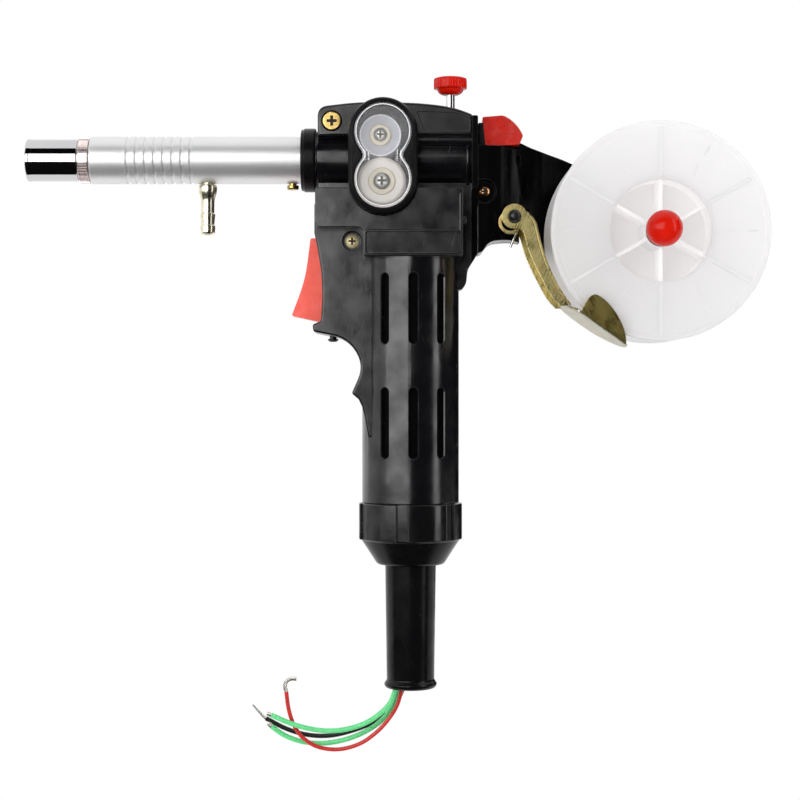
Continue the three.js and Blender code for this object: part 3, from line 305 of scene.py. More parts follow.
def coloured_plastic(name, colour, deep, roughness, grain=0.02, rubbed_and_sheen=0.0, **sockets):
    """Glossy coloured plastic with slightly uneven pigment, faint flow marks, and paler edges and patches
    that are partly rubbed wear and partly painted highlight.
    """
    skin = Finish(name, colour, roughness, **sockets)
    pigment = skin.tint(skin.between(skin.noise(5, 3), 0.0, 0.55), deep)
    if rubbed_and_sheen:
        # Paler edges and patches: partly rubbed wear, partly painted highlight.
        edge_wear_and_sheen = skin.maths("MAXIMUM", skin.worn_and_highlit_edges(0.5), skin.between(skin.noise(4, 3), 0.0, 0.7, 0.5, 0.7))
        pale = tuple(c + (0.8 - c) * 0.35 for c in colour)
        skin.tint(skin.product(edge_wear_and_sheen, rubbed_and_sheen), pale, pigment)
    skin.feed("Roughness", skin.between(skin.noise(3, 3), roughness - 0.05, roughness + 0.08))
    skin.relief(skin.noise(0.8, 2), grain, 0.4)
    return skin.material


def metal(name, colour, dull, roughness, line=(1, 1, 1), depth=0.006, blotch=6, solid=1.0):
    """Machined or plated metal: fine lines, cloudy tarnish and a varying polish."""
    skin = Finish(name, colour, roughness, solid)
    skin.tint(skin.between(skin.noise(blotch, 4), 0.0, 0.8, 0.4, 0.75), dull)
    lines = skin.noise(0.3, 3, stretch=line)
    skin.feed("Roughness", skin.between(lines, max(roughness - 0.05, 0.01), roughness + 0.07))
    skin.relief(lines, depth, 0.6)
    return skin.material


def satin_aluminium():
    """Anodised tube: even satin, faintly clouded, with a few rubbed places."""
    skin = Finish("sleeve_satin_aluminium", (0.82, 0.82, 0.825), 0.42, 0.82)
    skin.tint(skin.between(skin.noise(18, 3), 0.0, 0.5), (0.78, 0.78, 0.785))
    skin.feed("Roughness", skin.between(skin.noise(14, 3), 0.4, 0.44))
    skin.relief(skin.noise(9, 2), 0.003, 0.3)
    return skin.material


def zinc_plate(name, colour, smeared, lean, start):
    """Yellow-passivated sheet steel: streaks drawn one way, smears in patches, warm tints."""
    skin = Finish(name, colour, 0.36, 1.0)
    skin.place, plain = skin.turned(lean), skin.place
    drawn = skin.noise(0.55, 4, stretch=(1, 30, 9), rough=0.7)
    across = skin.noise(0.6, 3, stretch=(8, 30, 1), rough=0.6)
    skin.place = plain
    patches = skin.between(skin.noise(6, 3, stretch=(1, 2, 1.6)), 0.2, 1.0, 0.4, 0.62)
    streaks = skin.maths("MAXIMUM", skin.between(drawn, 0.0, 1.0, start, start + 0.16),
                         skin.between(across, 0.0, 0.7, 0.53, 0.68))
    amber = tuple(c * k for c, k in zip(colour, (0.95, 0.75, 0.6)))
    warm = skin.tint(skin.between(skin.noise(3.2, 3), 0.0, 0.8, 0.5, 0.7), amber)
    skin.tint(skin.product(streaks, patches), smeared, warm)
    skin.feed("Roughness", skin.between(drawn, 0.26, 0.46))
    skin.relief(drawn, 0.012, 0.6)
    skin.relief(skin.noise(8, 2), 0.05, 0.4)
    return skin.material


def milky(name, colour, grey, roughness, glow=0.0, lit_within=0.0):
    """Natural polypropylene: waxy and clouded; light passes through it, and an optional emission paints a
    glow into it.
    """
    skin = Finish(name, colour, roughness, subsurface_weight=0.35, subsurface_scale=0.006,
                  coat_weight=0.15, coat_roughness=0.25)
    skin.feed("Subsurface Radius", (1.0, 0.95, 0.9))
    skin.tint(skin.between(skin.noise(12, 4), 0.0, 0.5, 0.35, 0.7), grey)
    skin.feed("Roughness", skin.between(skin.noise(3, 3), roughness - 0.04, roughness + 0.08))
    skin.relief(skin.noise(1.6, 3), 0.02, 0.4)
    if glow:
        through = skin.add("ShaderNodeBsdfTranslucent", {"Color": (*colour, 1.0)})
        skin.show(mixed_shader(skin.tree, glow, skin.shader, through))
    # The emission is a painted glow: it lightens hollows and parts behind the window, and is no lamp.
    if lit_within:
        skin.feed("Emission Color", (*colour, 1.0))
        skin.feed("Emission Strength", lit_within)
    return skin.material


def clear_shell():
    """Clear polycarbonate; light reaches what lies behind it."""
    skin = Finish("clear_polycarbonate", (0.97, 0.975, 0.985), 0.03, transmission_weight=1.0, ior=1.45)
    skin.feed("Roughness", skin.between(skin.noise(4, 4), 0.01, 0.06))
    skin.relief(skin.noise(7, 2), 0.01, 0.3)
    path = skin.add("ShaderNodeLightPath").outputs
    lighting = skin.maths("MAXIMUM", path["Is Shadow Ray"], path["Is Diffuse Ray"])
    open_way = skin.add("ShaderNodeBsdfTransparent", {"Color": (0.93, 0.94, 0.95, 1)})
    dust = skin.add("ShaderNodeBsdfDiffuse", {"Color": (0.9, 0.89, 0.9, 1)})
    haze = skin.between(skin.noise(10, 4), 0.015, 0.045)
    hazed = mixed_shader(skin.tree, haze, skin.shader, dust)
    skin.show(mixed_shader(skin.tree, lighting, hazed, open_way))
    return skin.material


def insulation(name, colour, deep):
    """Extruded wire insulation: smooth, faintly waved along its length."""
    skin = Finish(name, colour, 0.32, coat_weight=0.25, coat_roughness=0.2)
    skin.tint(skin.between(skin.noise(2.5, 3), 0.0, 0.6), deep)
    skin.feed("Roughness", skin.between(skin.noise(1.2, 3), 0.26, 0.42))
    skin.relief(skin.noise(0.7, 2), 0.02, 0.5)
    return skin.material


FINISHES = {
    "housing": moulded("moulded_abs_black", (0.0036, 0.0032, 0.0042), 0.16, specular_ior_level=0.75),
    "bezel": moulded("moulded_abs_bezel", (0.004, 0.0037, 0.0043), 0.26, grain=0.008,
                     specular_ior_level=0.12),
    # A darker, duller copy of the black ABS for the spool arm and the shells' rear ends: painted shade.
    "arm": moulded("moulded_abs_shaded", (0.0018, 0.0018, 0.002), 0.16, specular_ior_level=0.05),
    "inner": moulded("moulded_nylon_black", (0.008, 0.008, 0.009), 0.4, specular_ior_level=0.3),
    # A black lining behind the handle's vents and a darkened motor can, so that the vents read black: painted
    # shade.
    "vent_shade": moulded("vent_shade_sleeve", (0.002, 0.002, 0.002), 0.6, specular_ior_level=0.04),
    "motor_can": metal("motor_can_painted_shade", (0.03, 0.03, 0.032), (0.018, 0.018, 0.02), 0.45),
    "nut": moulded("moulded_nut_nylon", (0.004, 0.004, 0.0045), 0.15, specular_ior_level=0.6),
    "pin_black": moulded("blackened_steel", (0.008, 0.008, 0.009), 0.22, grain=0.01),
    "boot": moulded("moulded_boot_rubber", (0.003, 0.003, 0.0035), 0.2, grain=0.03, rubbed_and_sheen=(0.03, 0.03, 0.03),
                    specular_ior_level=0.2),
    "red": coloured_plastic("signal_red_plastic", (0.6, 0.009, 0.002), (0.48, 0.006, 0.001), 0.15,
                            specular_ior_level=0.2),
    "lever_red": coloured_plastic("release_lever_red", (0.46, 0.009, 0.002), (0.32, 0.005, 0.0015), 0.3,
                                  grain=0.04, rubbed_and_sheen=0.1, specular_ior_level=0.28),
    "trigger_red": coloured_plastic("trigger_red", (0.9, 0.115, 0.08), (0.76, 0.08, 0.055), 0.36, grain=0.04,
                                    rubbed_and_sheen=0.18, specular_ior_level=0.3),
    "spool": milky("spool_polypropylene", (0.87, 0.865, 0.87), (0.84, 0.835, 0.84), 0.36, 0.55),
    # The spool's webs and hub floor carry a painted glow that lightens the hub's hollow.
    "spool_core": milky("spool_core_polypropylene", (0.84, 0.83, 0.83), (0.81, 0.8, 0.8), 0.4, 0.6, 0.37),
    "spool_rib": milky("spool_rib_polypropylene", (0.92, 0.92, 0.925), (0.89, 0.89, 0.9), 0.34, 0.4),
    # Both feed rollers carry a painted glow that lightens them behind the window.
    "roller_low": milky("roller_nylon", (0.82, 0.76, 0.69), (0.74, 0.68, 0.61), 0.3, 0.0, 0.2),
    "roller_high": milky("roller_clear_grey", (0.55, 0.54, 0.57), (0.46, 0.455, 0.49), 0.22, 0.0, 0.06),
    "cream": coloured_plastic("washer_cream", (0.93, 0.84, 0.65), (0.82, 0.72, 0.54), 0.4),
    "window": clear_shell(),
    # Pale frosted finish with a painted glow, for the window's edge bead and the upper roller's rim.
    "window_edge": milky("window_edge_painted_glow", (0.86, 0.86, 0.88), (0.7, 0.7, 0.72), 0.25, 0.0, 0.22),
    "chrome": metal("nozzle_chrome", (0.64, 0.64, 0.65), (0.58, 0.58, 0.6), 0.03, depth=0.0004, blotch=20),
    "aluminium": satin_aluminium(),
    "nickel": metal("lock_ring_nickel", (0.84, 0.76, 0.75), (0.72, 0.64, 0.63), 0.22, blotch=2),
    "steel": metal("bright_steel", (0.62, 0.62, 0.63), (0.45, 0.45, 0.46), 0.22),
    "pan_steel": metal("screw_steel", (0.72, 0.7, 0.65), (0.5, 0.47, 0.42), 0.42, blotch=1.2),
    "wire_steel": metal("spring_wire", (0.78, 0.78, 0.78), (0.6, 0.6, 0.6), 0.16),
    # Dark metal laid into the screws' cross recesses: painted shade.
    "recess": metal("recess_painted_shade", (0.05, 0.045, 0.04), (0.02, 0.018, 0.015), 0.5),
    # Paler brass for the web screw: its own paler plating, lightened further as painted light against its
    # recess's shade.
    "pale_brass_painted_light": metal("screw_pale_brass_painted_light", (0.92, 0.8, 0.46), (0.56, 0.44, 0.2), 0.34, solid=0.4,
                        blotch=1.2),
    "brass": metal("screw_brass", (0.6, 0.44, 0.16), (0.34, 0.21, 0.06), 0.2, blotch=1.2),
    "nipple_brass": metal("nipple_brass", (0.93, 0.89, 0.72), (0.66, 0.6, 0.34), 0.24, blotch=1.6),
    "copper": metal("screw_copper", (0.72, 0.38, 0.2), (0.4, 0.2, 0.1), 0.25, blotch=0.9),
    "zinc": zinc_plate("lever_zinc_yellow", (0.8, 0.69, 0.3), (0.045, 0.03, 0.01), -22, 0.46),
    "zinc_worn": zinc_plate("tab_zinc_worn", (0.5, 0.41, 0.13), (0.03, 0.02, 0.006), 35, 0.42),
    "zinc_pale": metal("paddle_zinc_pale", (0.6, 0.57, 0.47), (0.36, 0.33, 0.2), 0.42, line=(12, 1, 12),
                       blotch=4),
    "green_lead": insulation("insulation_green", (0.13, 0.68, 0.25), (0.08, 0.56, 0.19)),
    "red_lead": insulation("insulation_red", (0.56, 0.018, 0.014), (0.44, 0.012, 0.01)),
    "black_lead": insulation("insulation_black", (0.006, 0.006, 0.006), (0.012, 0.012, 0.012)),
    "tinned": metal("tinned_strands", (0.88, 0.86, 0.82), (0.66, 0.62, 0.56), 0.4, blotch=1),
}

# The frame's own solids that stay in sight, by finish; the pieces below stand for all the others.
CARRIED = {
    "inner": ["barrel_bush", "drive_gear", "idler_gear", "pressure_arm", "microswitch"],
    "steel": ["outlet_guide", "inlet_guide", "drive_axle", "idler_axle", "motor_pinion", "motor_shaft",
              "pressure_arm_pin", "pressure_axle", "trigger_pin"],
    # The gear motor takes the darkened can finish: painted shade behind the vents.
    "motor_can": ["gear_motor"],
    "wire_steel": ["trigger_spring"],
    "brass": ["conductor_tube"],
}


def dress_frame():
    """Gives every solid that stays in sight its finish."""
    for finish, members in CARRIED.items():
        for member in members:
            mesh = nodes[member].data
            mesh.materials.clear()
            mesh.materials.append(FINISHES[finish])


# ---------------------------------------------------------------- making shapes (millimetres)


def rounded(corners, steps=6, closed=True):
    """An outline from corners (across, up, rounding), each turned with a soft curve."""
    points = []
    for i, (across, up, *rounding) in enumerate(corners):
        here = Vector((across, up))
        at_end = not closed and i in (0, len(corners) - 1)
        if at_end or not rounding or rounding[0] == 0:
            points.append(here)
            continue
        before = Vector(corners[i - 1][:2])
        after = Vector(corners[(i + 1) % len(corners)][:2])
        enter = here + (before - here).normalized() * rounding[0]
        leave = here + (after - here).normalized() * rounding[0]
        for k in range(steps + 1):
            t = k / steps
            points.append(enter * (1 - t) ** 2 + here * 2 * t * (1 - t) + leave * t * t)
    return points


def arc(centre, r, start, end, steps):
    """Points of an arc, with its angles in degrees."""
    turns = [math.radians(start + (end - start) * k / steps) for k in range(steps + 1)]
    return [Vector((centre[0] + r * math.cos(t), centre[1] + r * math.sin(t))) for t in turns]


def smooth_route(knots, steps=8):
    """A soft line through 2-D or 3-D knots."""
    knots = [Vector(k) for k in knots]
    route = []
    for i in range(len(knots) - 1):
        p1, p2 = knots[i], knots[i + 1]
        p0 = knots[i - 1] if i else p1 * 2 - p2
        p3 = knots[i + 2] if i + 2 < len(knots) else p2 * 2 - p1
        for k in range(steps):
            t = k / steps
            route.append(0.5 * (2 * p1 + (p2 - p0) * t + (2 * p0 - 5 * p1 + 4 * p2 - p3) * t * t
                                + (3 * p1 - p0 - 3 * p2 + p3) * t ** 3))
    return route + [knots[-1]]


def bezier(a, b, c, d, steps):
    """Points of the curve from a to d that leaves towards b and arrives from c."""
    a, b, c, d = (Vector(p) for p in (a, b, c, d))
    return [a * (1 - t) ** 3 + b * 3 * t * (1 - t) ** 2 + c * 3 * t * t * (1 - t) + d * t ** 3
            for t in (k / steps for k in range(steps + 1))]


def unrepeated(points):
    """The outline without points that stand on top of each other."""
    return [p for p, q in zip(points, points[1:] + points[:1]) if (p - q).length > 1e-3]


def offset_left(route, distance):
    """A line moved to the left of its direction of travel."""
    moved_line = []
    for i, point in enumerate(route):
        way = (route[min(i + 1, len(route) - 1)] - route[max(i - 1, 0)]).normalized()
        moved_line.append(point + Vector((way.y, -way.x)) * distance)
    return moved_line


def new_mesh(bm):
    """Turns a bmesh into a mesh whose faces point outwards."""
    bmesh.ops.remove_doubles(bm, verts=bm.verts, dist=1e-4)
    bmesh.ops.recalc_face_normals(bm, faces=bm.faces)
    mesh = bpy.data.meshes.new("shape")
    bm.to_mesh(mesh)
    bm.free()
    return mesh


PLACES = {
    "y": lambda a, b, h: (a, h, b),
    "z": lambda a, b, h: (a, b, h),
    "x": lambda a, b, h: (h, a, b),
}


def slab(points, low, high, bevel=0.0, segments=3, axis="y"):
    """A flat outline pushed through along an axis, with both rims rounded over."""
    bm = bmesh.new()
    place = PLACES[axis]
    rims = [[bm.verts.new(place(p[0], p[1], h)) for p in points] for h in (low, high)]
    bm.faces.new(rims[0])
    bm.faces.new(list(reversed(rims[1])))
    for i in range(len(points)):
        j = (i + 1) % len(points)
        bm.faces.new([rims[0][j], rims[0][i], rims[1][i], rims[1][j]])
    bmesh.ops.recalc_face_normals(bm, faces=bm.faces)
    if bevel:
        edges = [e for e in bm.edges if (e.verts[0] in rims[0]) == (e.verts[1] in rims[0])]
        bmesh.ops.bevel(bm, geom=edges, offset=bevel, segments=segments, profile=0.5,
                        affect="EDGES", clamp_overlap=True)
    return new_mesh(bm)


def cut_plate(corners, low, high, bevel=0.0, segments=3):
    """A slab across Y from rounded corners."""
    return slab(rounded(corners), low, high, bevel, segments)


def block(x0, x1, y0, y1, z0, z1, bevel=0.0):
    bm = bmesh.new()
    size = Vector((x1 - x0, y1 - y0, z1 - z0))
    centre = Vector((x0 + x1, y0 + y1, z0 + z1)) / 2
    bmesh.ops.create_cube(bm, size=1, matrix=Matrix.Translation(centre) @ Matrix.Diagonal((*size, 1)))
    if bevel:
        bmesh.ops.bevel(bm, geom=bm.edges[:], offset=bevel, segments=2, profile=0.5, affect="EDGES")
    return new_mesh(bm)


def lathe(profile, axis, at=(0, 0, 0), segments=96, steps=4, closed=False):
    """A turned body from (radius, station, rounding) corners; an open profile ends on the axis."""
    outline = rounded(profile, steps, closed)
    bm = bmesh.new()
    place = PLACES[axis]
    rings = []
    for k in range(segments):
        turn = 2 * math.pi * k / segments
        rings.append([bm.verts.new(Vector(place(r * math.cos(turn), r * math.sin(turn), h)) + Vector(at))
                      for r, h in outline])
    last = len(outline) if closed else len(outline) - 1
    for k in range(segments):
        here, there = rings[k], rings[(k + 1) % segments]
        for i in range(last):
            j = (i + 1) % len(outline)
            bm.faces.new([here[i], here[j], there[j], there[i]])
    bmesh.ops.remove_doubles(bm, verts=bm.verts, dist=1e-4)
    bmesh.ops.dissolve_degenerate(bm, edges=bm.edges, dist=1e-5)
    return new_mesh(bm)


def turned_ring(profile, axis, at=(0, 0, 0), segments=96, steps=4):
    """A turned body whose profile closes on itself, clear of the axis."""
    return lathe(profile, axis, at, segments, steps, closed=True)


def rod(r, low, high, axis, at=(0, 0, 0), segments=48, edge=0.0):
    return lathe([(0, low), (r, low, edge), (r, high, edge), (0, high)], axis, at, segments)


def loft(rings, capped=True):
    """A skin over rings of points; capped at both ends, or joined round into itself."""
    bm = bmesh.new()
    rows = [[bm.verts.new(p) for p in ring] for ring in rings]
    for row, after in zip(rows, rows[1:] + ([] if capped else rows[:1])):
        for i in range(len(row)):
            j = (i + 1) % len(row)
            bm.faces.new([row[i], row[j], after[j], after[i]])
    if capped:
        bm.faces.new(list(reversed(rows[0])))
        bm.faces.new(rows[-1])
    return new_mesh(bm)


def flatten(holder):
    """The plain mesh that an object's modifiers end in."""
    graph = bpy.context.evaluated_depsgraph_get()
    mesh = bpy.data.meshes.new_from_object(holder.evaluated_get(graph), depsgraph=graph)
    bpy.data.objects.remove(holder)
    return mesh


def carve(base, tools, operation="DIFFERENCE"):
    holder, helpers = new_object("holder", base), [new_object("holder", tool) for tool in tools]
    for helper in helpers:
        step = holder.modifiers.new("carve", "BOOLEAN")
        step.solver = "MANIFOLD"
        step.operation = operation
        step.object = helper
    mesh = flatten(holder)
    for helper in helpers:
        bpy.data.objects.remove(helper)
    return mesh


def fuse(*meshes):
    return carve(meshes[0], meshes[1:], "UNION")


def gather(*meshes):
    """Several closed bodies kept side by side in one mesh."""
    bm = bmesh.new()
    for mesh in meshes:
        bm.from_mesh(mesh)
    mesh = bpy.data.meshes.new("gathered")
    bm.to_mesh(mesh)
    bm.free()
    return mesh


def moved(mesh, turn=0.0, axis="Y", by=(0, 0, 0)):
    """A copy turned about an axis through the origin, in degrees, then shifted."""
    copy = mesh.copy()
    copy.transform(Matrix.Translation(by) @ Matrix.Rotation(math.radians(turn), 4, axis))
    return copy


def make_piece(name, mesh, finish, body, slot, *replaced, crease=33, weighted=True):
    """Puts a finished mesh on its body and hides the frame solids that it stands for."""
    mesh.transform(Matrix.Scale(MM, 4))
    mesh.name = name
    mesh.materials.clear()
    mesh.materials.append(FINISHES[finish])
    mesh.polygons.foreach_set("material_index", [0] * len(mesh.polygons))
    mesh.shade_smooth()
    mesh.set_sharp_from_angle(angle=math.radians(crease))
    piece = new_object(name, mesh)
    if weighted:
        shading = piece.modifiers.new("flat_faces_stay_flat", "WEIGHTED_NORMAL")
        shading.keep_sharp = True
    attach(piece, body)
    if replaced:
        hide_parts(*replaced)
    return piece


# ---------------------------------------------------------------- trees for what repeats


def new_tree(name, sizes, takes_shape=True):
    """An empty geometry tree whose named inputs carry its sizes."""
    tree = bpy.data.node_groups.new(name, "GeometryNodeTree")
    kinds = {int: "NodeSocketInt", float: "NodeSocketFloat", tuple: "NodeSocketVector",
             bpy.types.Material: "NodeSocketMaterial", bpy.types.Object: "NodeSocketObject"}
    tree.interface.new_socket("Shape", in_out="OUTPUT", socket_type="NodeSocketGeometry")
    if takes_shape:
        tree.interface.new_socket("Shape", in_out="INPUT", socket_type="NodeSocketGeometry")
    for label, value in sizes.items():
        kind = value if isinstance(value, type) else type(value)
        socket = tree.interface.new_socket(label, in_out="INPUT", socket_type=kinds[kind])
        if not isinstance(value, type):
            socket.default_value = value
    return tree, add_node(tree, "NodeGroupInput").outputs


def end_tree(tree, shape, given):
    real = add_node(tree, "GeometryNodeRealizeInstances", {"Geometry": shape})
    painted = add_node(tree, "GeometryNodeSetMaterial", {"Geometry": real, "Material": given["Finish"]})
    add_node(tree, "NodeGroupOutput", {0: painted})
    return tree


def ring_tree():
    """Copies of one shape set evenly round an axis through a centre."""
    tree, given = new_tree("ring_of_copies", {"Copies": 6, "Start": 0.0, "Axis": (0.0, 1.0, 0.0),
                           "Centre": (0.0, 0.0, 0.0), "Finish": bpy.types.Material})
    spots = add_node(tree, "GeometryNodeMeshLine", {"Count": given["Copies"], "Offset": (0, 0, 0)})
    index = add_node(tree, "GeometryNodeInputIndex")
    share = maths(tree, "DIVIDE", index, given["Copies"])
    turn = maths(tree, "MULTIPLY_ADD", share, 2 * math.pi, given["Start"])
    rotation = add_node(tree, "FunctionNodeAxisAngleToRotation", {"Axis": given["Axis"], "Angle": turn})
    copies = add_node(tree, "GeometryNodeInstanceOnPoints", {"Points": spots,
                      "Instance": given["Shape"], "Rotation": rotation})
    shifted = add_node(tree, "GeometryNodeTransform", {"Geometry": copies, "Translation": given["Centre"]})
    return end_tree(tree, shifted, given)


def thickened(tree, line, radius, sides):
    """A round wire along a curve, closed at both ends."""
    section = add_node(tree, "GeometryNodeCurvePrimitiveCircle", {"Resolution": sides, "Radius": radius})
    return add_node(tree, "GeometryNodeCurveToMesh", {"Curve": line,
                    "Profile Curve": section, "Fill Caps": True})


def tube_tree():
    """A round wire along a line of edges."""
    tree, given = new_tree("wire_on_route", {"Radius": 1.0, "Sides": 12, "Finish": bpy.types.Material})
    line = add_node(tree, "GeometryNodeMeshToCurve", {"Mesh": given["Shape"]})
    return end_tree(tree, thickened(tree, line, given["Radius"], given["Sides"]), given)


def coil_tree():
    """A wound spring along +Z from the origin."""
    tree, given = new_tree("wound_spring", {"Turns": 4.0, "Radius": 3.0, "Length": 8.0, "Wire": 0.35,
                           "Finish": bpy.types.Material}, takes_shape=False)
    line = add_node(tree, "GeometryNodeCurveSpiral", {"Resolution": 28, "Rotations": given["Turns"],
                    "Start Radius": given["Radius"], "End Radius": given["Radius"],
                    "Height": given["Length"]})
    return end_tree(tree, thickened(tree, line, given["Wire"], 10), given)


def row_tree():
    """Copies of a tooth set evenly along an upright line of edges, each lying along it."""
    tree, given = new_tree("teeth_on_route", {"Tooth": bpy.types.Object, "Copies": 10,
                           "Finish": bpy.types.Material})
    line = add_node(tree, "GeometryNodeMeshToCurve", {"Mesh": given["Shape"]})
    spots = add_node(tree, "GeometryNodeCurveToPoints", {"Curve": line, "Count": given["Copies"]})
    tooth = add_node(tree, "GeometryNodeObjectInfo", {"Object": given["Tooth"]})
    along = add_node(tree, "FunctionNodeAlignRotationToVector", {"Vector": spots.outputs["Tangent"]},
                     axis="X", pivot_axis="Y")
    copies = add_node(tree, "GeometryNodeInstanceOnPoints", {"Points": spots.outputs["Points"],
                      "Instance": tooth.outputs["Geometry"], "Rotation": along})
    return end_tree(tree, copies, given)


AXES = {"x": (1.0, 0.0, 0.0), "y": (0.0, 1.0, 0.0), "z": (0.0, 0.0, 1.0)}
TREES = {"ring": ring_tree(), "tube": tube_tree(), "coil": coil_tree(), "row": row_tree()}


def grow(kind, shape=None, **sizes):
    """Runs a tree on a shape with its named sizes and gives the plain mesh."""
    tree = TREES[kind]
    holder = new_object("holder", shape or bpy.data.meshes.new("seed"))
    step = holder.modifiers.new("grow", "NODES")
    step.node_group = tree
    for socket in tree.interface.items_tree:
        if socket.in_out == "INPUT" and socket.name.lower() in sizes:
            step[socket.identifier] = sizes[socket.name.lower()]
    return flatten(holder)


def ring_of(shape, copies, finish, start=0.0, axis="y", centre=(0.0, 0.0, 0.0)):
    return grow("ring", shape, copies=copies, start=math.radians(start), axis=AXES[axis], centre=centre,
                finish=FINISHES[finish])


def line_mesh(points):
    mesh = bpy.data.meshes.new("route")
    mesh.from_pydata([tuple(p) for p in points], [(i, i + 1) for i in range(len(points) - 1)], [])
    return mesh


def wire(points, r, finish, sides=12):
    return grow("tube", line_mesh(points), radius=r, sides=sides, finish=FINISHES[finish])


def spring(turns, r, length, thickness, finish):
    return grow("coil", turns=float(turns), radius=r, length=length, wire=thickness, finish=FINISHES[finish])


# ---------------------------------------------------------------- leads

# Routes are the frame's own, in metres, from the mouth of the boot to the cut ends.
LEADS = {
    "lead_green_long": ("green_lead", "insulation_green", 0.00115, [
        (-0.00687, -0.00279, -0.1437), (-0.0094, -0.0032, -0.15), (-0.0136, -0.0034, -0.1546),
        (-0.0206, -0.0035, -0.1593), (-0.0292, -0.0035, -0.1622), (-0.0386, -0.0034, -0.1631),
        (-0.0474, -0.0032, -0.162), (-0.0554, -0.003, -0.1598), (-0.0646, -0.0028, -0.1559)]),
    "lead_green_short": ("green_lead", "insulation_green", 0.00115, [
        (-0.00587, 0.0022, -0.1437), (-0.008, 0.0023, -0.1514), (-0.0124, 0.0024, -0.1582),
        (-0.0196, 0.0025, -0.1637), (-0.029, 0.0026, -0.1678), (-0.0394, 0.0027, -0.1699),
        (-0.0496, 0.0026, -0.1694), (-0.0584, 0.0024, -0.1664), (-0.0648, 0.0022, -0.162)]),
    "lead_red": ("red_lead", "insulation_red", 0.00095, [
        (-0.00397, -0.0006, -0.1437), (-0.0062, -0.0006, -0.1516), (-0.0104, -0.0006, -0.1584),
        (-0.016, -0.0006, -0.1644), (-0.0236, -0.0006, -0.1696), (-0.0332, -0.0006, -0.1722),
        (-0.0426, -0.0006, -0.1712), (-0.0496, -0.0006, -0.1672), (-0.054, -0.0006, -0.1614),
        (-0.0566, -0.0006, -0.1538), (-0.0578, -0.0006, -0.1454)]),
    "lead_black": ("black_lead", "insulation_black", 0.0011, [
        (-0.00297, 0.0048, -0.1437), (-0.0064, 0.005, -0.1508), (-0.0118, 0.0051, -0.157),
        (-0.0186, 0.0051, -0.1612), (-0.028, 0.005, -0.1647), (-0.038, 0.0049, -0.1668),
        (-0.048, 0.0047, -0.1664), (-0.0578, 0.0045, -0.1636), (-0.0676, 0.0043, -0.1586)]),
}
# Where the bare strands go on to, and how much they close up towards the tip.
BARE_ENDS = {
    "lead_green_long": ([(-0.0658, -0.0028, -0.1554), (-0.0664, -0.0028, -0.1551)], 0.9),
    "lead_green_short": ([(-0.0657, 0.0022, -0.1612), (-0.0663, 0.0022, -0.1607)], 0.9),
    "lead_red": ([(-0.0584, -0.0006, -0.1429), (-0.0577, -0.0007, -0.1407), (-0.0559, -0.0008, -0.1394),
                  (-0.0531, -0.0009, -0.1393)], 1.15),
    "lead_black": ([(-0.0699, 0.0043, -0.1565), (-0.0737, 0.0043, -0.1523)], 0.2),
}


def stripped_end(name, route, r):
    """Seven fine tinned strands, twisted a little, that stick out of the insulation."""
    onward, closing = BARE_ENDS[name]
    outer, twist, spread, hidden = 6, 14, 0.62, 0.002
    start = route[-1] - (route[-1] - route[-2]).normalized() * hidden
    line = smooth_route([start, route[-1], *onward], 6)
    strands = []
    for k in range(outer + 1):
        strand = []
        for step, point in enumerate(line):
            share = step / (len(line) - 1)
            way = (line[min(step + 1, len(line) - 1)] - line[max(step - 1, 0)]).normalized()
            side = way.cross(Vector((0, 1, 0))).normalized()
            turn = math.radians(360 / outer * k + twist * step)
            out = 0 if k == outer else spread * r * (1 + (closing - 1) * share)
            strand.append((point + (side * math.cos(turn) + way.cross(side) * math.sin(turn)) * out) / MM)
        strands.append(wire(strand, (0.36 - 0.1 * (closing < 0.5)) * r / MM, "tinned", 8))
    return make_piece(name + "_strands", gather(*strands), "tinned", "body", "steel", crease=80,
                      weighted=False)


def run_leads():
    for name, (finish, slot, r, knots) in LEADS.items():
        route = smooth_route(knots, 5)
        mesh = wire([p / MM for p in route], r / MM, finish, 24)
        tube = make_piece(name + "_insulation", mesh, finish, "body", slot, name, crease=60, weighted=False)
        strands = stripped_end(name, route, r)
    sheath = lathe([(0, -139), (9.15, -139), (9.15, -142.4, 0.4), (8.2, -142.7, 0.4), (0, -142.6)], "z",
                   (0, 0, 0), 96)
    make_piece("cable_sheath_end", sheath, "inner", "body", "black_abs")


# ---------------------------------------------------------------- sizes shared by the pieces (millimetres)


def hub_of(node):
    """The middle of a node's box, brought to the torch's own middle plane."""
    low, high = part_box(node)
    return (low[0] + high[0]) / 2 / MM, 0.0, (low[2] + high[2]) / 2 / MM


def reach_of(node, axis):
    """Where a node's box starts and ends along one axis."""
    return [corner["xyz".index(axis)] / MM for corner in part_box(node)]


WIRE_LINE = (0.0, 0.0, 101.6)
HANDLE_R = 22.5
BLOCK_HALF = 24
PANEL_HALF = 15.5
WEB_HALF = 13.5
COVER = {"x": -12.6, "low": 89.5, "high": 111.0, "r": 15.8, "front": -31.0, "seat": -13.9}
EYE = {"r": 13.0, "neck": 8.5}
COVER_MIDDLE = (COVER["low"] + COVER["high"]) / 2
LOBE_POINTS = 40
LOW_ROLLER = hub_of("drive_roller")
HIGH_ROLLER = hub_of("pressure_roller")
HUB = hub_of("spool_half_left")
EYE_OF_LEVER = (47.4, 0, 74.1)
TRIGGER_PIVOT = (-39.6, 0, 61.2)
KNOB_X = 18.5
GUARD_SCREW_X = -36
# Each shell screw's axis, the height of its face and the radius of its head; their shanks end alike.
HEAD_SCREW = ((-36.1, 0, 117.8), -15.9, 4.2)
WEB_SCREW = ((-26.9, 0, 63.1), -12.2, 3.2)
ARM_SCREW = ((33.9, 0, 86.1), -10.6, 2.9)
SHANK_END = 8.6

# ---------------------------------------------------------------- housing


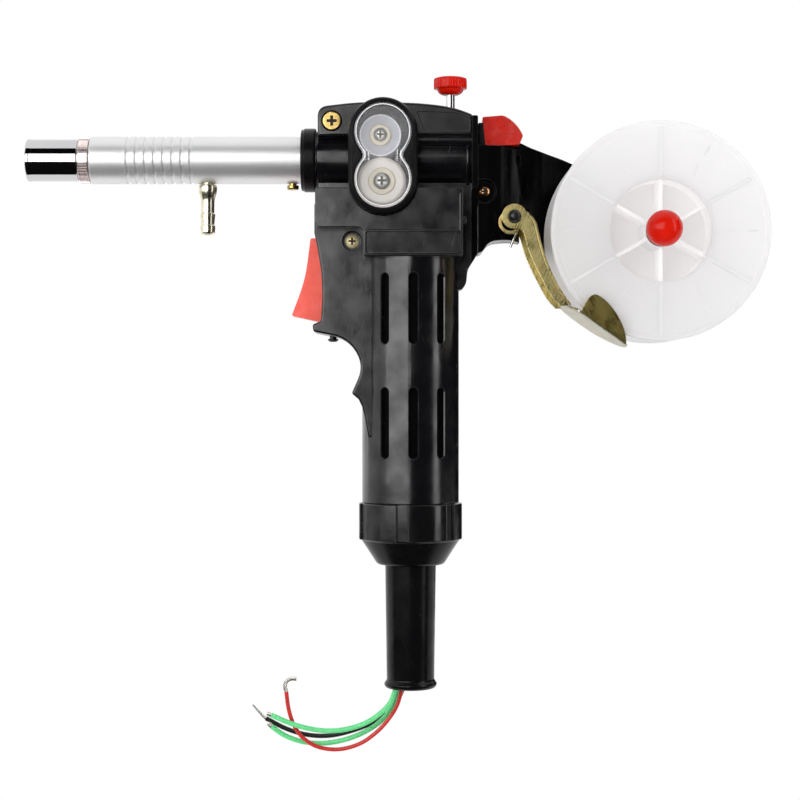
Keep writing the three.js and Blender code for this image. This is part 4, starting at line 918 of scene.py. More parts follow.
def lobed(r, neck):
    """Two lobes joined by a waist `neck` half wide; with neck = r it is a plain stadium."""
    drop = math.sqrt(max(r * r - neck * neck, 0))
    start = math.degrees(math.atan2(-drop, neck))
    upper = ([Vector((COVER["x"] + neck, COVER_MIDDLE))]
             + arc((COVER["x"], COVER["high"]), r, start, 180 - start, 96)
             + [Vector((COVER["x"] - neck, COVER_MIDDLE))])
    reach = [0.0]
    for a, b in zip(upper, upper[1:]):
        reach.append(reach[-1] + (b - a).length)
    half, k = [], 0
    for i in range(LOBE_POINTS):
        want = reach[-1] * i / LOBE_POINTS
        while reach[k + 1] < want:
            k += 1
        half.append(upper[k].lerp(upper[k + 1], (want - reach[k]) / max(reach[k + 1] - reach[k], 1e-9)))
    turned_half = [Vector((2 * COVER["x"] - p.x, 2 * COVER_MIDDLE - p.y)) for p in half]
    ring = half + turned_half
    for _ in range(2):
        ring = [(ring[i - 1] + ring[i] * 2 + ring[(i + 1) % len(ring)]) / 4 for i in range(len(ring))]
    return ring


def lobed_rings(steps, r, neck=None):
    """Lobed rings for a loft, each from a step inwards and a step back from the cover's front."""
    neck = r if neck is None else neck
    return [[(p.x, COVER["front"] + back, p.y) for p in lobed(r - inwards, neck - inwards)]
            for inwards, back in steps]


def flared_slot(low, high, width, degrees):
    """A long round-ended slot with its rim eased open, as moulded slots are."""
    rings = []
    for y, grow_by in ((-HANDLE_R - 1.5, 0.95), (-HANDLE_R + 0.15, 0.5), (-HANDLE_R + 0.6, 0.1), (-16, 0.0)):
        r = width / 2 + grow_by
        rings.append([(p.x, y, p.y) for p in arc((0, high - width / 2), r, 0, 180, 10)
                      + arc((0, low + width / 2), r, 180, 360, 10)])
    return moved(loft(rings), degrees, "Z")


def housing_form():
    """Both shells as one solid: grip, web with its guard, head block, core, feed tube and ribs."""
    grip = lathe([(0, -73), (20.4, -73), (20.4, -57.4), (HANDLE_R, -57.4, 0.5), (HANDLE_R, 60), (0, 60)], "z")
    web = cut_plate([
        (-44.2, 80), (-44.2, 66.7), (-43.1, 61.7, 3), (-40.9, 48.8, 4), (-40.5, 38, 4), (-41.2, 26.4, 1),
        (-45.1, 24.8, 1.2), (-44.6, 21.4, 1.2), (-28.9, 18.3, 7), (-21.4, 6.2, 7), (-27.1, -6.8, 1),
        (-23.9, -9.5), (-22.4, -12.7), (-21.1, -18), (-19.6, -27), (-12, -27), (-12, 80)],
                    -WEB_HALF, WEB_HALF, 2.2, 4)
    lower_block = cut_plate([
        (-43.4, 86.4, 0.6), (-43.4, 68.5, 3), (-21.6, 68.5, 3), (-21.6, 55.4, 1.2), (23.7, 55.4, 1.2),
        (23.7, 86.4, 0.6)], -BLOCK_HALF, BLOCK_HALF, 1.1, 3)
    core = cut_plate([
        (-42.5, 80), (-42.5, 116, 1), (30.8, 116, 1), (30.8, 57.5, 1), (26.3, 50.4), (17, 48), (17, 62),
        (-20, 62), (-20, 80)], -7.5, 12, 0.4, 2)
    seat = slab(lobed(COVER["r"] - 0.2, COVER["r"] - 0.2), -15, 2)
    gusset = cut_plate([
        (30.8, 62), (30.4, 57.8, 2), (26.3, 50.2, 2), (25.7, 43.9, 1.5), (23.6, 41, 1), (15, 41), (15, 62)],
                       -6, 6, 0.6)
    panel = cut_plate([
        (-42.6, 111), (-42.6, 124.4, 4.5), (-24, 126.6, 7), (5, 126.2, 9), (20.5, 124, 6), (28.4, 120.8, 1),
        (28.4, 111)], -PANEL_HALF, PANEL_HALF, 1.2, 4)
    feed_tube = lathe([(0, -43.4), (13.1, -43.4, 0.3), (13.6, -42.9, 0.3), (13.6, 27.6, 0.6),
                       (12.6, 29.6, 0.6), (0, 29.6)], "x", WIRE_LINE)
    gear_case = lathe([(0, 0), (15.6, 0), (15.6, 18.6, 0.8), (14.4, 19.8, 0.8), (0, 19.8)], "y",
                      LOW_ROLLER)
    ridges = [rod(3.2, 2, 28.8, "x", (0, side * 11.7, 109.4), 32, 1) for side in (1, -1)]
    rear_rib = cut_plate([(28, 87, 0.6), (28, 120.4, 0.9), (30.8, 120.4, 0.9), (30.8, 87, 0.6)],
                         -15.8, 15.8, 0.7)
    ring_rib = lathe([(0, 25.6), (14.5, 25.6, 0.5), (14.5, 27.1, 0.5), (0, 27.1)], "x", WIRE_LINE)
    end_rib = cut_plate([(21.9, 56, 0.8), (21.9, 84, 0.8), (23.6, 84, 0.8), (23.6, 56, 0.8)],
                        -24.5, 24.5, 0.5)
    nub = cut_plate([(23, 69.6, 0.8), (23, 73.2, 0.8), (25.1, 73.6, 0.9), (25.5, 70.4, 0.9)],
                    -23.4, 23.4, 0.6)
    tongue = block(30, 38.6, -3.7, 3.7, 80.2, 92, 0.4)
    plate_frame = cut_plate([(-21.2, 56.1, 1.4), (22.9, 56.1, 1.4), (22.9, 67.4, 1.4), (-21.2, 67.4, 1.4)],
                            -BLOCK_HALF - 0.7, -BLOCK_HALF + 0.3, 0.4, 3)
    return fuse(grip, web, lower_block, core, seat, gusset, panel, feed_tube, gear_case, *ridges, rear_rib,
                ring_rib, end_rib, nub, tongue, plate_frame)


def recess_on(corners, face, depth, side):
    """A pocket in a flat side, its walls leaning open."""
    outline = rounded(corners)
    middle = sum(outline, Vector((0, 0))) / len(outline)
    rings = []
    for y, spread in ((face + side * 1.5, 1.06), (face - side * depth, 0.985)):
        rings.append([((p.x - middle.x) * spread + middle.x, y, (p.y - middle.y) * spread + middle.y)
                      for p in outline])
    return loft(rings)


def screw_hole(at, face, head_r, depth, shank_r):
    return lathe([(0, face - 2), (head_r + 0.35, face - 2), (head_r + 0.35, face), (head_r, face + 0.4),
                  (head_r, face + depth, 0.3), (shank_r, face + depth), (shank_r, 9), (0, 9)], "y", at, 48)


PANEL_RECESS = [(2.7, 122.3, 1.2), (6.3, 113.4, 1), (27.1, 113.4, 0.8), (27.1, 119, 1), (22, 121.6, 3)]
PLATE_FIELD = [(-20.2, 57, 1), (22, 57, 1), (22, 66.4, 1), (-20.2, 66.4, 1)]


def housing_hollows():
    """The motor's bore, the vents, the wire's way, the trigger's well and the screw holes."""
    slots = []
    for low, high in ((-36.3, -4.4), (16, 47.8)):
        for degrees in (-32, 3, 38, 142, 177, 212):
            slots.append(flared_slot(low, high, 3.7, degrees))
    return slots + [
        rod(20, -52, 50, "z"),
        rod(18, -80, -51, "z"),
        rod(11.25, -50, -33.6, "x", WIRE_LINE, 96),
        rod(3.3, -34, -19, "x", WIRE_LINE),
        rod(2.9, -10, 40, "x", WIRE_LINE),
        slab(lobed(12.4, 8), -40, 3.5),
        block(-19.6, 31.5, -5, 9.4, 105.2, 120.6),
        rod(2.4, 119, 130, "z", (KNOB_X, 0, 0)),
        rod(1.7, -9.6, 9.6, "y", (26.2, 0, 112)),
        cut_plate([(-50, 65.6), (-34.6, 65.6, 2), (-31, 40, 1), (-31, 25.6, 1), (-50, 25.6)], -5.7, 5.7),
        block(-32.2, -24.9, -3.6, 3.6, 37.6, 58.4),
        rod(1.75, -9.6, 9.6, "y", TRIGGER_PIVOT),
        rod(1.9, 17, 24, "z", (GUARD_SCREW_X, 0, 0)),
        screw_hole(HEAD_SCREW[0], -PANEL_HALF, 4.5, 1.9, 1.9),
        screw_hole(WEB_SCREW[0], -WEB_HALF, 4.25, 3.2, 1.9),
        rod(1.9, -5, 5, "y", ARM_SCREW[0]),
        recess_on(PANEL_RECESS, -PANEL_HALF, 1, -1),
        recess_on(PANEL_RECESS, PANEL_HALF, 1, 1),
        recess_on(PLATE_FIELD, -BLOCK_HALF - 0.7, 1.3, -1),
    ]


def build_housing():
    """The shells parted along the middle plane, with the plate at their back split off and given the darker
    arm finish: painted shade.
    """
    whole = carve(housing_form(), housing_hollows())
    far = 200
    left = carve(whole.copy(), [block(-far, far, -0.1, far, -far, far),
                                slab(lobed(COVER["r"] + 0.3, COVER["r"] + 0.3), -40, -13.6)])
    right = carve(whole, [block(-far, far, -far, 0.1, -far, far),
                          rod(12.9, -1, 14.6, "y", LOW_ROLLER),
                          rod(13.3, -1, 8.6, "y", (0, 0, 79.2)),
                          rod(7.8, -1, 14.6, "y", (0, 0, 79.2))])
    beyond = block(27.95, far, -far, far, -far, far)
    make_piece("rear_plate_window_side", carve(left.copy(), [beyond], "INTERSECT"), "arm", "body",
               "black_abs")
    make_piece("rear_plate_gear_side", carve(right.copy(), [beyond], "INTERSECT"), "arm", "body", "black_abs")
    make_piece("housing_window_side", carve(left, [beyond]), "housing", "body", "black_abs",
               "body_shell_left")
    make_piece("housing_gear_side", carve(right, [beyond]), "housing", "body", "black_abs",
               "body_shell_right")
    # A thin black lining just inside the handle's bore, behind the vents: painted shade.
    vent_shade = turned_ring([(19.55, -49.4), (19.85, -49.4), (19.85, 49.6), (19.55, 49.6)], "z")
    make_piece("motor_sleeve", vent_shade, "vent_shade", "body", "black_abs")


def build_bezel():
    wall = lobed_rings([(0, 17.1), (0, 4.2), (0.05, 2.8), (0.35, 1.4), (0.9, 0.5), (1.6, 0.06), (1.9, 0)],
                       COVER["r"])
    lip = lobed_rings([(0, 0), (0.28, 0.06), (0.45, 0.35), (0.45, 2.4), (1.4, 2.4), (1.4, 17.1)],
                      EYE["r"] + 0.75, EYE["neck"] + 0.75)
    make_piece("window_bezel", loft(wall + lip, capped=False), "bezel", "body", "black_abs", "gear_cover",
               crease=50)


def build_window():
    front = COVER["front"]
    pane = lobed_rings([
        (3.0, 1.5), (1.5, 1.5), (1.3, 1.9), (0.35, 2.1), (0, 1.9), (0, 0.1), (0.12, -0.35), (0.45, -0.6),
        (0.9, -0.55), (1.15, -0.25), (1.4, -0.1), (2.6, -0.1), (3.0, -0.1)], EYE["r"], EYE["neck"])
    clips = [block(x - 0.45, x + 0.45, front - 0.75, front + 1.2, COVER_MIDDLE - 2.6, COVER_MIDDLE + 2.6, 0.3)
             for x in (COVER["x"] + side * (EYE["neck"] + out) for side in (-1, 1) for out in (-2.3, -0.3))]
    # A pale bead round the window's edge, lit by painted glow: a painted highlight on the rim.
    bead = lobed_rings([(0.62, -0.6), (0.78, -0.72), (0.95, -0.68), (1.08, -0.5), (0.9, -0.45), (0.7, -0.5),
                        (0.62, -0.6)], EYE["r"], EYE["neck"])
    make_piece("window_edge_bead", loft(bead, capped=False), "window_edge", "body", "clear_plastic",
               crease=60)
    make_piece("clear_window", gather(loft(pane), *clips), "window", "body", "clear_plastic", "window",
               crease=24)


def build_arm():
    """The dished plate that carries the spool: its side outline cut to its plan."""
    plan = ([Vector((31.1, -11.6)), Vector((35.5, -11.6))]
            + bezier((35.5, -11.6), (44, -11), (48, -6), (52, 4), 16)
            + bezier((52, 4), (57, 17), (62, 23.4), (74, 23.4), 20)
            + [Vector((133, 23.4)), Vector((133, 29.4)), Vector((72, 29.4))]
            + bezier((72, 29.4), (56, 29.4), (50, 14), (31.1, 11.6), 24))
    side = rounded([
        (31.1, 57.6, 0.5), (33, 58.4, 1), (36, 63, 3), (47, 64.4, 6), (62, 60, 10),
        (HUB[0] - 5, HUB[2] - 16.4), (HUB[0], HUB[2] - 17), (HUB[0], HUB[2] + 17),
        (HUB[0] - 5, HUB[2] + 16.8), (76, 104, 8), (61, 108.7, 3), (53, 110, 1.5), (31.1, 110)], 10)
    bracket = carve(slab(side, -14, 30.4, 1.6, 4), [slab(unrepeated(plan), 50, 115, axis="z")], "INTERSECT")
    bracket = carve(bracket, [block(50.6, 58.5, -20, 12.7, 50, 80.6, 1.5),
                              block(50.6, 58.5, 10, 32, 50, 70, 1.5)])
    x, _, z = EYE_OF_LEVER
    lug = fuse(rod(4.6, -6, 10.4, "y", EYE_OF_LEVER, 48, 0.4),
               block(x - 4.6, x + 4.6, 2, 10.4, z, z + 12, 0.4))
    boss = rod(17, 23.4, 29.4, "y", HUB, 96, 0.8)
    spacer = rod(9, 20.8, 29.4, "y", HUB, 64, 0.4)
    dish = lathe([(0, -17), (7, -17), (4.8, -8.6), (3.4, -8.6, 0.3), (0, -8.6)], "y", ARM_SCREW[0], 48)
    arm = carve(fuse(bracket, lug, boss, spacer), [
        block(30, 53, -9.4, 1.6, 106.4, 120), block(30, 53, -20, -9, 107.2, 120),
        rod(3, 28, 75, "x", WIRE_LINE), rod(4.3, 15, 35, "y", HUB),
        rod(3.2, -20, 20, "y", EYE_OF_LEVER), rod(5.4, -14, -6.9, "y", EYE_OF_LEVER),
        block(36, 57.5, 10.4, 12.7, 50, 80.6), block(36, 57.5, 12, 32, 50, 70),
        block(30, 39, -4, 4, 79.9, 92.3), dish, rod(1.9, -14, 9, "y", ARM_SCREW[0])])
    # The arm takes the darker, duller copy of the black ABS: painted shade.
    make_piece("spool_arm_casting", arm, "arm", "body", "black_abs", "spool_arm")


# ---------------------------------------------------------------- barrel


def build_barrel():
    at = WIRE_LINE
    r, grooves, first_groove, pitch = 10.95, 8, -131.4, 4.19
    profile = [(8.6, -34), (8.6, -140.4), (9.3, -140.4), (9.3, -148.4), (10.55, -148.4, 0.3),
               (r, -147.9, 0.3)]
    for i in range(grooves):
        x = first_groove + i * pitch
        profile += [(r, x - 0.12, 0.1), (10.35, x + 0.05, 0.1), (10.2, x + 0.7, 0.4), (10.35, x + 1.35, 0.1),
                    (r, x + 1.52, 0.1)]
    make_piece("barrel_tube", turned_ring(profile + [(r, -34)], "x", at, 160, 3), "aluminium", "body",
               "aluminium", "barrel_sleeve", crease=40)
    cup = [(9, -141), (7.9, -141), (7.9, -177.2, 0.4), (8.3, -177.9, 0.3), (9.5, -177.9, 0.35),
           (9.86, -177.5, 0.3), (9.86, -176.5, 0.3), (9.72, -175.9, 0.3), (9.72, -154.3, 0.3),
           (9.5, -154, 0.2), (9, -154)]
    make_piece("nozzle_cup", turned_ring(cup, "x", at, 160, 4), "chrome", "nozzle", "chrome", "nozzle",
               crease=40)
    band = turned_ring([(9.4, -153.7), (10.1, -153.7, 0.2), (10.38, -153.4, 0.2), (10.38, -149, 0.2),
                        (10.1, -148.7, 0.2), (9.4, -148.7)], "x", at, 96)
    tooth = slab([(-0.16, 10.2), (0.16, 10.2), (0.07, 10.62), (-0.07, 10.62)], -153.4, -149, axis="x")
    ribs = ring_of(tooth, 84, "nickel", axis="x", centre=WIRE_LINE)
    make_piece("knurled_lock_ring", gather(band, ribs), "nickel", "body", "nickel", "lock_ring", crease=25)
    nipple = [(1.5, 67.1), (2.8, 67.1, 0.4), (3.35, 67.9, 0.3), (3.5, 70.9, 0.15), (3.45, 71.3, 0.1),
              (3.1, 71.5, 0.2), (3.1, 72.2, 0.3), (3.5, 76.2, 0.15), (3.45, 76.7, 0.1), (3.05, 76.9, 0.2),
              (3.1, 83.2, 1.2), (4.25, 86.8, 1.2), (4.35, 89, 0.8), (4.0, 90.3, 0.4), (2.5, 90.3),
              (2.5, 93.2), (1.5, 93.2)]
    make_piece("gas_hose_nipple", turned_ring(nipple, "z", (-94.3, 0, 0), 64, 4), "nipple_brass", "body",
               "zinc_yellow", "gas_nipple", crease=50)
    screw = carve(lathe([(0, 87.9), (2.3, 87.9, 0.4), (2.75, 88.4, 0.4), (2.75, 89.9, 0.3), (1.75, 89.9),
                         (1.75, 93.2), (0, 93.2)], "z", (-54.7, 0, 0), 48),
                  [block(-58, -51, -0.4, 0.4, 87, 88.9)])
    make_piece("barrel_set_screw", screw, "brass", "body", "brass", "set_screw")
    ring_profile = [(11.25, -50.7), (13.9, -50.7, 0.4), (14.2, -50.2, 0.3), (14.2, -49.6, 0.3),
                    (14.75, -49.1, 0.4), (14.75, -44.3, 0.5), (14.1, -43.7, 0.4), (11.25, -43.7)]
    make_piece("barrel_collar", turned_ring(ring_profile, "x", at, 128, 4), "bezel", "body", "black_abs",
               "front_collar", crease=40)
    spreader = turned_ring([(1.2, -163), (4.4, -163, 0.3), (5.4, -162, 0.3), (5.4, -150.6), (1.2, -150.6)],
                           "x", at, 64)
    ports = [moved(rod(0.9, 3, 8, "z", (0, 0, 0), 20), k * 60, "X", (-156.5, 0, WIRE_LINE[2]))
             for k in range(6)]
    make_piece("gas_spreader", carve(spreader, ports), "brass", "body", "brass", "gas_diffuser")
    tip = [(0.6, -175.5), (1.5, -175.5, 0.2), (2.9, -172.5, 0.8), (2.9, -167, 0.4), (3.7, -166.2, 0.3),
           (3.7, -163.3), (0.6, -163.3)]
    make_piece("wire_contact_tip", turned_ring(tip, "x", at, 64), "copper", "body", "copper", "contact_tip")


# ---------------------------------------------------------------- wire feed behind the window


def cross_recess(at, y, arm, depth, width=0.8):
    """The tapered cross that a screwdriver fits."""
    def wing(turn):
        rings = []
        for level, share in ((y - 0.6, 1.0), (y + depth, 0.6)):
            a, w = arm * share, width / 2 * (0.6 + 0.4 * share)
            rings.append([(dx, level, dz) for dx, dz in ((-a, -w), (a, -w), (a, w), (-a, w))])
        return moved(loft(rings), turn, "Y", at)
    return [wing(0), wing(90)]


def painted_recess_shade(at, y, r, depth):
    """A dark insert at the foot of a cross recess: painted shade."""
    cross = fuse(*cross_recess(at, y, 0.6 * r, depth, 0.33 * r))
    return carve(cross, [rod(0.8 * r, y + 0.2 * depth, y + depth + 0.15, "y", at, 32)], "INTERSECT")


def pan_screw(at, y, r, height, shank_r, end):
    body = lathe([(0, y), (0.45 * r, y + 0.08, 0.2 * r), (0.86 * r, y + 0.45 * height, 0.2 * r),
                  (r, y + 0.75 * height, 0.15), (r, y + height, 0.1), (shank_r, y + height), (shank_r, end),
                  (0, end)], "y", at, 64)
    return carve(body, cross_recess(at, y, 0.66 * r, 0.9 * height, 0.32 * r))


def flat_screw(at, y, r, under, shank_r, end):
    body = lathe([(0, y), (r - 0.2, y, 0.2), (r, y + 0.25, 0.15), (r, y + 0.55, 0.1), (shank_r, under),
                  (shank_r, end), (0, end)], "y", at, 64)
    return carve(body, cross_recess(at, y, 0.62 * r, 1.7, 0.34 * r))


def feed_screw(node, at, body, names, r, height, shank_r, recess):
    """A roller's pan screw as long as its solid, and painted shade in its recess."""
    y, end = reach_of(node, "y")
    make_piece(names[0], pan_screw(at, y, r, height, shank_r, end), "pan_steel", body, "steel", node)
    make_piece(names[1], painted_recess_shade(at, y, r, recess), "recess", body, "steel", weighted=False)


def build_feed():
    low = [(3, -17.5), (9.9, -17.5, 0.6), (11.1, -16.2, 0.6), (11.1, -12.5, 0.4), (8.1, -11.5, 0.4),
           (8.1, -4.4, 0.4), (11.1, -3.6, 0.3), (11.1, -0.7), (10.6, 0), (11.1, 0.7), (11.1, 3, 0.4), (3, 3)]
    make_piece("lower_feed_roller", turned_ring(low, "y", LOW_ROLLER, 128), "roller_low", "drive_train",
               "milky_plastic", "drive_roller", crease=40)
    washer = fit_stations([(1.8, -18.7), (5.7, -18.7, 0.3), (6.2, -18.3, 0.3), (6.2, -17.6), (1.8, -17.6)],
                          *reach_of("drive_washer", "y"))
    make_piece("roller_washer", turned_ring(washer, "y", LOW_ROLLER, 96), "cream", "drive_train",
               "cream_plastic", "drive_washer", crease=40)
    feed_screw("drive_screw", LOW_ROLLER, "drive_train", ("roller_pan_screw", "lower_screw_recess"),
               3.8, 2.1, 1.45, 1.9)
    # The upper roller's pale lip, lifted by painted glow.
    rim = [(8.85, -17.1), (8.95, -17.5, 0.15), (9.4, -17.55, 0.15), (9.55, -17.1, 0.2), (9.55, -16, 0.1),
           (8.85, -16)]
    make_piece("upper_roller_rim", turned_ring(rim, "y", HIGH_ROLLER, 128), "window_edge", "upper_roller",
               "milky_plastic", crease=40)
    high = [(2.4, -17), (9.2, -17, 0.2), (9.5, -16.7, 0.2), (9.5, -12.5, 0.4), (6.5, -11.5, 0.4),
            (6.5, -4.4, 0.4), (9.5, -3.6, 0.3), (9.5, -0.7), (9, 0), (9.5, 0.7), (9.5, 3, 0.4), (2.4, 3)]
    make_piece("upper_feed_roller", turned_ring(high, "y", HIGH_ROLLER, 128), "roller_high", "upper_roller",
               "milky_plastic", "pressure_roller", crease=40)
    start, end = reach_of("pressure_bush", "y")
    bush = [(1.6, start), (4.4, start, 0.3), (5, start + 0.5, 0.3), (5, end), (1.6, end)]
    make_piece("upper_roller_bush", turned_ring(bush, "y", HIGH_ROLLER, 96), "cream", "pressure_rocker",
               "cream_plastic", "pressure_bush", crease=40)
    feed_screw("pressure_screw", HIGH_ROLLER, "pressure_rocker", ("upper_roller_screw", "upper_screw_recess"),
               3, 1.8, 1.3, 1.6)


def fit_stations(profile, low, high):
    """Stretches a profile's stations to run between two heights."""
    stations = [p[1] for p in profile]
    scale = (high - low) / (max(stations) - min(stations))
    return [(p[0], low + (p[1] - min(stations)) * scale, *p[2:]) for p in profile]


# ---------------------------------------------------------------- red controls


def build_controls():
    x = KNOB_X
    hub = lathe([(0, 131.9), (3.6, 131.9, 0.5), (5.5, 132.8, 1.2), (6.3, 134.6, 0.3), (7.4, 134.9, 0.3),
                 (7.5, 139.2, 0.6), (6.6, 139.9, 0.5), (3.4, 140.3, 1), (0, 140.3)], "z", (0, 0, 0), 96)
    lobe = lathe([(0, 134.7), (0.3, 134.9, 0.1), (0.4, 135.3, 0.3), (0.4, 138.9, 0.3), (0.25, 139.6, 0.3),
                  (0, 139.7)], "z", (7.28, 0, 0), 16)
    lobes = ring_of(lobe, 30, "red", axis="z", centre=(x, 0.0, 0.0))
    make_piece("tension_hand_knob", gather(moved(hub, by=(x, 0, 0)), lobes), "red", "tension", "red_plastic",
               "tension_knob", crease=45)
    low, high = reach_of("tension_screw", "z")
    stem = [(0, low), (2, low, 0.3), (2.1, low + 0.4, 0.2), (2.1, 118.9), (3.4, 118.9, 0.2),
            (3.4, 120.2, 0.2), (2.1, 120.2)]
    first_thread, pitch = 121.2, 0.5
    for i in range(20):
        station = first_thread + i * pitch
        stem += [(2.1, station), (2.0, station + pitch / 2)]
    make_piece("tension_stem", lathe(stem + [(2.1, high), (0, high)], "z", (x, 0, 0), 48), "wire_steel",
               "tension", "steel", "tension_screw", crease=50)
    make_piece("tension_coil", moved(spring(4.2, 2.9, 7.4, 0.35, "wire_steel"), by=(x, 0, 110.8)),
               "wire_steel", "body", "steel", "tension_spring", crease=80)

    side = rounded([(34.5, 107.3, 0.5), (50.2, 108, 1), (51.8, 111.9, 0.8), (50.4, 115, 3), (47.2, 118.2, 3),
                    (42.8, 121.4, 1.2), (33.1, 120.6, 0.6)])
    dish = moved(rod(150, 100, 130, "z", (0, 0, 0), 720), by=(41.5, -158.3, 0))
    grip = carve(slab(side, -9, 1, 1.1, 4), [block(30, 43.4, -4.5, 0.5, 109.3, 114.5), dish])
    neck = block(31.3, 35.2, -6, 0.6, 107.4, 118.4, 0.5)
    make_piece("pressure_arm_neck", neck, "inner", "pressure_rocker", "black_abs")
    seat = new_object("tooth", slab([(-0.3, -0.15), (0.3, -0.15), (0.05, 0.28), (-0.05, 0.28)], -4.2, 4.2))
    edge = smooth_route([(43.6, -4, 120.85), (46.4, -4, 119.1), (48.9, -4, 116.6), (50.4, -4, 114.3),
                         (51.5, -4, 112.2)])
    teeth = grow("row", line_mesh(edge), tooth=seat, copies=20, finish=FINISHES["lever_red"])
    bpy.data.objects.remove(seat)
    make_piece("roller_release_lever", gather(grip, teeth), "lever_red", "pressure_rocker", "red_plastic",
               "release_lever", crease=40)

    side = rounded([(-46.3, 65, 1), (-48.2, 49.6, 6), (-50, 42.4, 6), (-55, 29.2, 0.9), (-41.6, 26.3, 1),
                    (-38.2, 27, 0.8), (-37.4, 44, 3), (-36.6, 61, 1), (-38, 65, 1)])
    spring_bore = rod(3.3, -43.6, -30, "x", (0, 0, 31.5))
    body = carve(slab(side, -5.3, 5.3, 1.3, 5), [rod(1.75, -10, 10, "y", TRIGGER_PIVOT), spring_bore])
    make_piece("finger_trigger", body, "trigger_red", "trigger", "trigger_red", "trigger", crease=40)


# ---------------------------------------------------------------- handle end


def build_handle_end():
    body = turned_ring([(20.9, -57.7), (23.1, -57.7, 0.3), (23.1, -74.4, 0.4), (22.6, -75, 0.3), (20.9, -75)],
                       "z", (0, 0, 0), 128, 5)
    # The nut's downward-facing taper takes the duller boot finish so that it reads darker: painted shade.
    taper = turned_ring([(20.9, -75), (22.55, -75, 0.1), (15.9, -85.3, 0.6), (14.9, -86, 0.4), (12.5, -86),
                         (12.5, -83)], "z", (0, 0, 0), 128, 5)
    make_piece("collar_nut_taper", taper, "boot", "collar_nut", "black_abs", crease=40)
    pads, gap = 6, 12
    share = 360 / pads
    half = (share - gap) / 2
    pad_outline = arc((0, 0), 24, 270 - half, 270 + half, 14) + arc((0, 0), 22.4, 270 + half, 270 - half, 14)
    pad = slab(pad_outline, -74.4, -57.5, 0.6, 3, axis="z")
    raised = ring_of(pad, pads, "housing", start=-9.8 + share / 2, axis="z")
    ridges = [ring_of(moved(rod(0.4, -74.2, -57.9, "z", (0, -23.85, 0), 16, 0.15), turn, "Z"), pads,
                      "housing", axis="z") for turn in (-16.5, -3.3)]
    make_piece("handle_collar_nut", gather(body, raised, *ridges), "nut", "collar_nut", "black_abs",
               "collar_nut", crease=40)

    profile = [(9.2, -73.6), (17.5, -73.6), (17.5, -75.8), (12.1, -77.6), (11.75, -88.6),
               (11.05, -139.6, 0.6), (12, -140.9, 0.5), (12.25, -141.6, 0.4), (12.1, -142.4, 0.4),
               (11.2, -143.4, 0.6), (10, -143.7, 0.4), (9.2, -142.9, 0.4)]
    sleeve = turned_ring(profile, "z", (0, 0, 0), 128, 4)
    seam = slab([(-0.25, 11.3), (0.25, 11.3), (0.12, 11.78), (-0.12, 11.78)], -138, -89, axis="z")
    seams = ring_of(moved(seam, 46, "Z"), 2, "boot", axis="z")
    make_piece("cable_sleeve_boot", gather(sleeve, lean_in(seams, 11.75, 11.05, -88, -138.7)), "boot", "body",
               "black_abs", "cable_boot", crease=40)


def lean_in(mesh, r_top, r_low, z_top, z_low):
    """Draws points in towards the handle's axis as a taper does."""
    for vertex in mesh.vertices:
        share = (vertex.co.z - z_top) / (z_low - z_top)
        scale = 1 + (r_low / r_top - 1) * share
        vertex.co.x *= scale
        vertex.co.y *= scale
    return mesh


# ---------------------------------------------------------------- spool


